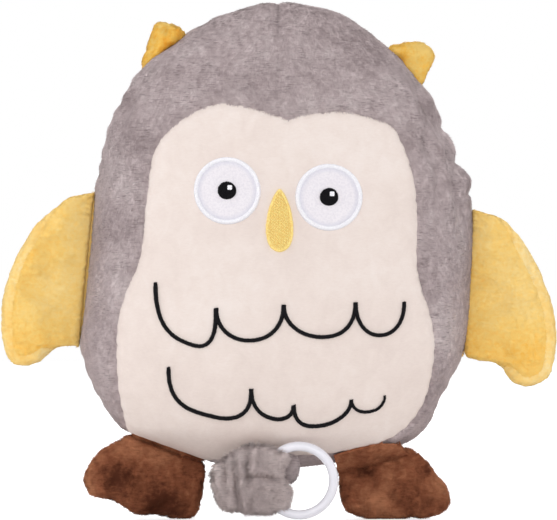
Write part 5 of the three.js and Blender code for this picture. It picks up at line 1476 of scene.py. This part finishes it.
def fill_rows(outline, pitch, stitch, angle, rise, radius, seed, inset=0.4):
    """A field of short stitches in rows inside a closed line."""
    c, s = math.cos(angle), math.sin(angle)
    turned = np.column_stack([outline[:, 0] * c + outline[:, 1] * s, -outline[:, 0] * s + outline[:, 1] * c])
    rng = np.random.default_rng(seed)
    starts, ends = [], []
    for k, row in enumerate(np.arange(turned[:, 1].min() + pitch / 2, turned[:, 1].max(), pitch)):
        a, b = turned, np.roll(turned, -1, axis=0)
        hit = (a[:, 1] > row) != (b[:, 1] > row)
        x = np.sort(a[hit, 0] + (row - a[hit, 1]) / (b[hit, 1] - a[hit, 1]) * (b[hit, 0] - a[hit, 0]))
        if len(x) < 2:
            continue
        low, high = x[0] + inset, x[-1] - inset
        if high - low < 0.4:
            continue
        shift = (k % 3) / 3 * stitch
        cuts = np.arange(math.floor(low / stitch) * stitch + shift, high + stitch, stitch)
        cuts = cuts[(cuts > low + 0.5) & (cuts < high - 0.5)]
        cuts = np.concatenate([[low], cuts, [high]])
        for u, v in zip(cuts[:-1], cuts[1:]):
            wobble = rng.uniform(-0.04, 0.04, 2)
            starts.append((u, row + wobble[0]))
            ends.append((v, row + wobble[1]))
    starts, ends = np.array(starts), np.array(ends)
    back = np.array([[c, s], [-s, c]])
    return threads(stitches(starts @ back, ends @ back, rise), radius)


EYE_X, EYE_RADIUS = 28.2, 18.6
EYE_Z = BODY_BASE + 0.5863 * BODY_HEIGHT
EYE_DROP = 1.8            # the left eye sits this much above their middle height, the right one below it
# the third colour is a painted shadow, a bluish grey ring just inside each eye's satin border
WHITE_FELT = felt("white_felt", srgb(240, 235, 240), srgb(228, 223, 230), srgb(206, 206, 220),
                  [(-EYE_X, EYE_Z + EYE_DROP), (EYE_X, EYE_Z - EYE_DROP)], EYE_RADIUS), "white_thread"
for side, name in ((-1, "left"), (1, "right")):
    x, z = side * EYE_X, EYE_Z - side * EYE_DROP
    white_line = round_line(x, z, EYE_RADIUS, 96, 0.004, 7 + side)
    add_part(f"{name}_eye_white_felt", [patch_disc(white_line, 0.1, 0.7)], WHITE_FELT, [f"{name}_eye_white"])
    border = satin_border(white_line, width=2.7, pitch=0.4, rise=1.5, radius=0.26, seed=21 + side)
    add_part(f"{name}_eye_border_satin", [border], WHITE_THREAD)
    pupil_line = round_line(x, z, 5, 48, 0.02, 31 + side)
    add_part(f"{name}_pupil_stitching", [
        patch_disc(pupil_line, 0.7, 1.15),
        fill_rows(pupil_line, pitch=0.34, stitch=3.4, angle=1.2, rise=1.5, radius=0.22, seed=41 + side,
                  inset=-0.15),
    ], BLACK_THREAD, [f"{name}_pupil"])
    glint = []
    for turn in np.arange(4) * math.pi / 2 + math.pi / 4:
        lobe = round_line(x + 1.6 + 0.75 * math.cos(turn), z + 1.6 + 0.75 * math.sin(turn), 0.85, 16)
        glint.append(patch_disc(lobe, 1.5, 2.0, rings=4))
    add_part(f"{name}_eye_glint_stitching", glint, WHITE_THREAD, [f"{name}_eye_glint"])

BEAK = np.array([(0, 1), (0.32, 0.93), (0.58, 0.82), (0.84, 0.66), (0.98, 0.47), (1, 0.31), (0.88, 0.16),
                 (0.56, 0.05), (0, 0)])
BEAK_X, BEAK_HALF, BEAK_TALL, BEAK_RISE = 0.9, 7.5, 35, 2.8
beak_z = EYE_Z + BEAK_RISE - BEAK_TALL * (1 - BEAK[:, 1])
beak_right = np.column_stack([BEAK_X + BEAK[:, 0] * BEAK_HALF, beak_z])
beak_left = np.column_stack([BEAK_X - BEAK[:, 0] * BEAK_HALF, beak_z])[::-1][1:-1]
beak_line = closed_curve(np.vstack([beak_right, beak_left]), 0.8)
add_part("beak_stitching", [
    patch_disc(beak_line, 0.1, 0.7),
    fill_rows(beak_line, pitch=0.9, stitch=1.7, angle=math.pi / 2, rise=1.15, radius=0.4, seed=51, inset=1.3),
    satin_border(beak_line, width=1.9, pitch=0.38, rise=1.25, radius=0.23, seed=52),
], YELLOW_THREAD, ["beak"])


FIRST_ARC, OTHER_ARCS = 2.7, 2.15         # how square the scallops' arcs are
PEAK_MORE, PEAK_REACH = 0.15, 0.12        # how much wider the satin is at its peaks, and how far from them


def scallop_path(ends, sags, leans, taper, steps=60):
    """Arcs that hang from peak to peak as leaning half ovals, and the width shares along them."""
    peaks = on_body(ends)
    line = [peaks[:1]]
    widths = [np.array([0.8])]
    for a, b, sag, lean in zip(peaks[:-1], peaks[1:], sags, leans):
        roundness = OTHER_ARCS if len(line) > 1 else FIRST_ARC
        turn = np.linspace(0, math.pi, steps + 1)[1:]
        across = (1 - np.sign(np.cos(turn)) * np.abs(np.cos(turn)) ** (2 / roundness)) / 2
        across = across + lean * np.sin(turn) ** 2
        hang = sag * BODY_HEIGHT * np.abs(np.sin(turn)) ** (2 / roundness)
        line.append(a + (b - a) * across[:, None] - np.column_stack([np.zeros(steps), hang]))
        near_peak = np.minimum(turn, math.pi - turn) / math.pi
        widths.append(1 + PEAK_MORE * bell(near_peak, PEAK_REACH))
    widths = np.concatenate(widths)
    along = np.linspace(0, 1, len(widths))
    return np.vstack(line), widths * (1 - taper * np.clip((along - 0.66) / 0.34, 0, 1))


def add_scallops(name, node, ends, sags, leans, taper, width, seed):
    line, widths = scallop_path(ends, sags, leans, taper)
    wide = evenly(np.column_stack([line, widths]), 0.42)
    line, widths = wide[:, :2], wide[:, 2]
    run = unit(np.gradient(line, axis=0))
    across = np.column_stack([-run[:, 1], run[:, 0]])
    rng = np.random.default_rng(seed)
    half = width / 2 * widths + rng.uniform(-0.1, 0.16, (2, len(line)))
    starts = line - across * half[0][:, None] + run * 0.15
    ends = line + across * half[1][:, None] - run * 0.15
    core = skin_at(line[:, 0], line[:, 1], 0.25)[None]
    parts = [threads(stitches(starts, ends, 1.15), 0.27), threads(core, 0.5 * width * 0.85 * widths[None])]
    add_part(name, parts, BLACK_THREAD, [node])


add_scallops("upper_scallop_satin", "upper_scallop_stitching",
             [(-0.624, 0.398), (-0.316, 0.345), (0.029, 0.352), (0.396, 0.357), (0.647, 0.357)],
             [0.1, 0.072, 0.071, 0.07], [0, 0.02, 0.06, 0], 0.1, 2.35, 61)
add_scallops("lower_scallop_satin", "lower_scallop_stitching",
             [(-0.561, 0.219), (-0.137, 0.174), (0.08, 0.139), (0.375, 0.151), (0.547, 0.158)],
             [0.081, 0.046, 0.05, 0.03], [-0.04, -0.1, -0.09, 0], 0.55, 2.2, 62)

# Ring, tab and cord

RING_X, RING_Y, RING_Z = 11.8, -43.372, 23.0
RING_RADIUS, RING_BAR = 19.05, 2.65
LOOP_Y = -37.6            # the loop passes behind the ring


def torus(x, y, z, ring, bar, around=120, sides=28):
    u = np.arange(around) / around * TWO_PI
    v = np.arange(sides) / sides * TWO_PI
    r = ring + bar * np.cos(v)[None]
    depth = np.broadcast_to(y + bar * np.sin(v)[None], (around, sides))
    points = np.stack([x + r * np.cos(u)[:, None], depth, z + r * np.sin(u)[:, None]], -1).reshape(-1, 3)
    return points, grid_faces(around + 1, sides) % (around * sides)


add_part("pull_ring_smooth", [torus(RING_X, RING_Y, RING_Z, RING_RADIUS, RING_BAR)], RING_PLASTIC,
         ["pull_ring"], "ring")

TAB = [
    (0, 0.456), (0.02, 0.625), (0.154, 0.814), (0.3, 0.925), (0.433, 1), (0.645, 0.994),
    (0.822, 0.952), (0.984, 0.87), (0.92, 0.582), (0.99, 0.4), (1, 0.206), (0.97, 0.07),
    (0.822, 0.03), (0.656, 0), (0.489, 0.007), (0.211, 0.042), (0.1, 0.11), (0.035, 0.28),
]
TAB_SIZE, TAB_CORNER = (45, 38.6), (-37.6, 4.4)
tab_line = np.array(TAB) * TAB_SIZE + TAB_CORNER
# The tab's upright folds, left of its middle, and the crease across its right half
TAB_FOLDS = [
    (-29.6, 26, 14, 2.0, 97, 3.6), (-24.0, 20, 17, 1.9, 99, 3.8), (-17.4, 32, 9, 1.8, 88, 2.8),
    (-10, 25.4, 10, 1.8, -4, 3.2), (-33, 14, 7, 1.8, 110, 1.8), (-14, 12, 6, 2, 60, 1.0),
]
TAB_NAP = {
    "sideways": lambda x: np.full(len(x), 0.5), "down": 1,
    "swirl": 1.6, "patch": 14, "clump_turn": 0.9, "clump": 3.0, "jitter": 0.3,
    "lean": 1.05, "lean_patch": 0.3, "lean_jitter": 0.2,
    "length": 3.6, "width": 0.5, "ridge": 0.7, "sunk": 0.3,
}
# the tab wears the lighter copy of the grey plush, which is painted light
add_cushion("pull_tab", tab_line, thickness=14, power=3, slack=0.05, shaped=0.4, y=RING_Y, bulge=(0.4, 8, 71),
            folds=TAB_FOLDS, look=TAB_GREY_PAINTED_LIGHT, fill=0.5, nap=TAB_NAP, count=14000, seed=401, body="tab",
            replaced=["pull_tab"])

# The tab's loop, behind the ring's bar
LOOP = np.array([(-2, 38.6), (8.5, 37.8), (12.5, 33), (11.8, 25), (7, 21), (0, 22), (-6, 27), (-6, 36)])
add_cushion("tab_loop", LOOP, thickness=4.5, power=2, slack=0.02, shaped=0.3, y=LOOP_Y, bulge=(0, 8, 0),
            folds=[], look=GREY, fill=0.3, nap=dict(TAB_NAP, length=2.2), count=3000, seed=411, body="tab")

# The stretch of the cord between the eyelet and the knot in the tab, made as one straight piece; on the toy it
# grows as the ring is pulled
CORD_OUT = np.array([-15.089, -24.5, 34.6])
CORD_KNOT = np.array([-15, -43.372, 25.4])
cord_line = CORD_OUT + (CORD_KNOT - CORD_OUT) * np.linspace(0, 1, 40)[:, None]
CORD_RADIUS = 0.7
cord_points, cord_triangles = tube(cord_line, np.array([1.0, 0, 0]), CORD_RADIUS, CORD_RADIUS, 12)
stretch = add_piece("cord_stretch", cord_points, cord_triangles, CORD)
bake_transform(stretch)

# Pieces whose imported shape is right

CARRIED = (
    (RING_PLASTIC, "cord_eyelet"),
    (CASE_PLASTIC, "cord_guide_tube case_front case_back"),
    (CORD, "pull_cord wound_cord cord_end_knot"),
    (BRASS, "cord_spool pinned_cylinder governor front_plate back_plate frame_pillar_1 frame_pillar_2"
            " frame_pillar_3"),
    (STEEL, "mainspring spool_arbor cylinder_arbor tone_comb comb_block comb_screw_1 comb_screw_2"
            " frame_screw_1 frame_screw_2 frame_screw_3"),
)
for look, nodes in CARRIED:
    for node in nodes.split():
        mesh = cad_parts[node].data
        mesh.materials.clear()
        mesh.materials.append(look[0])
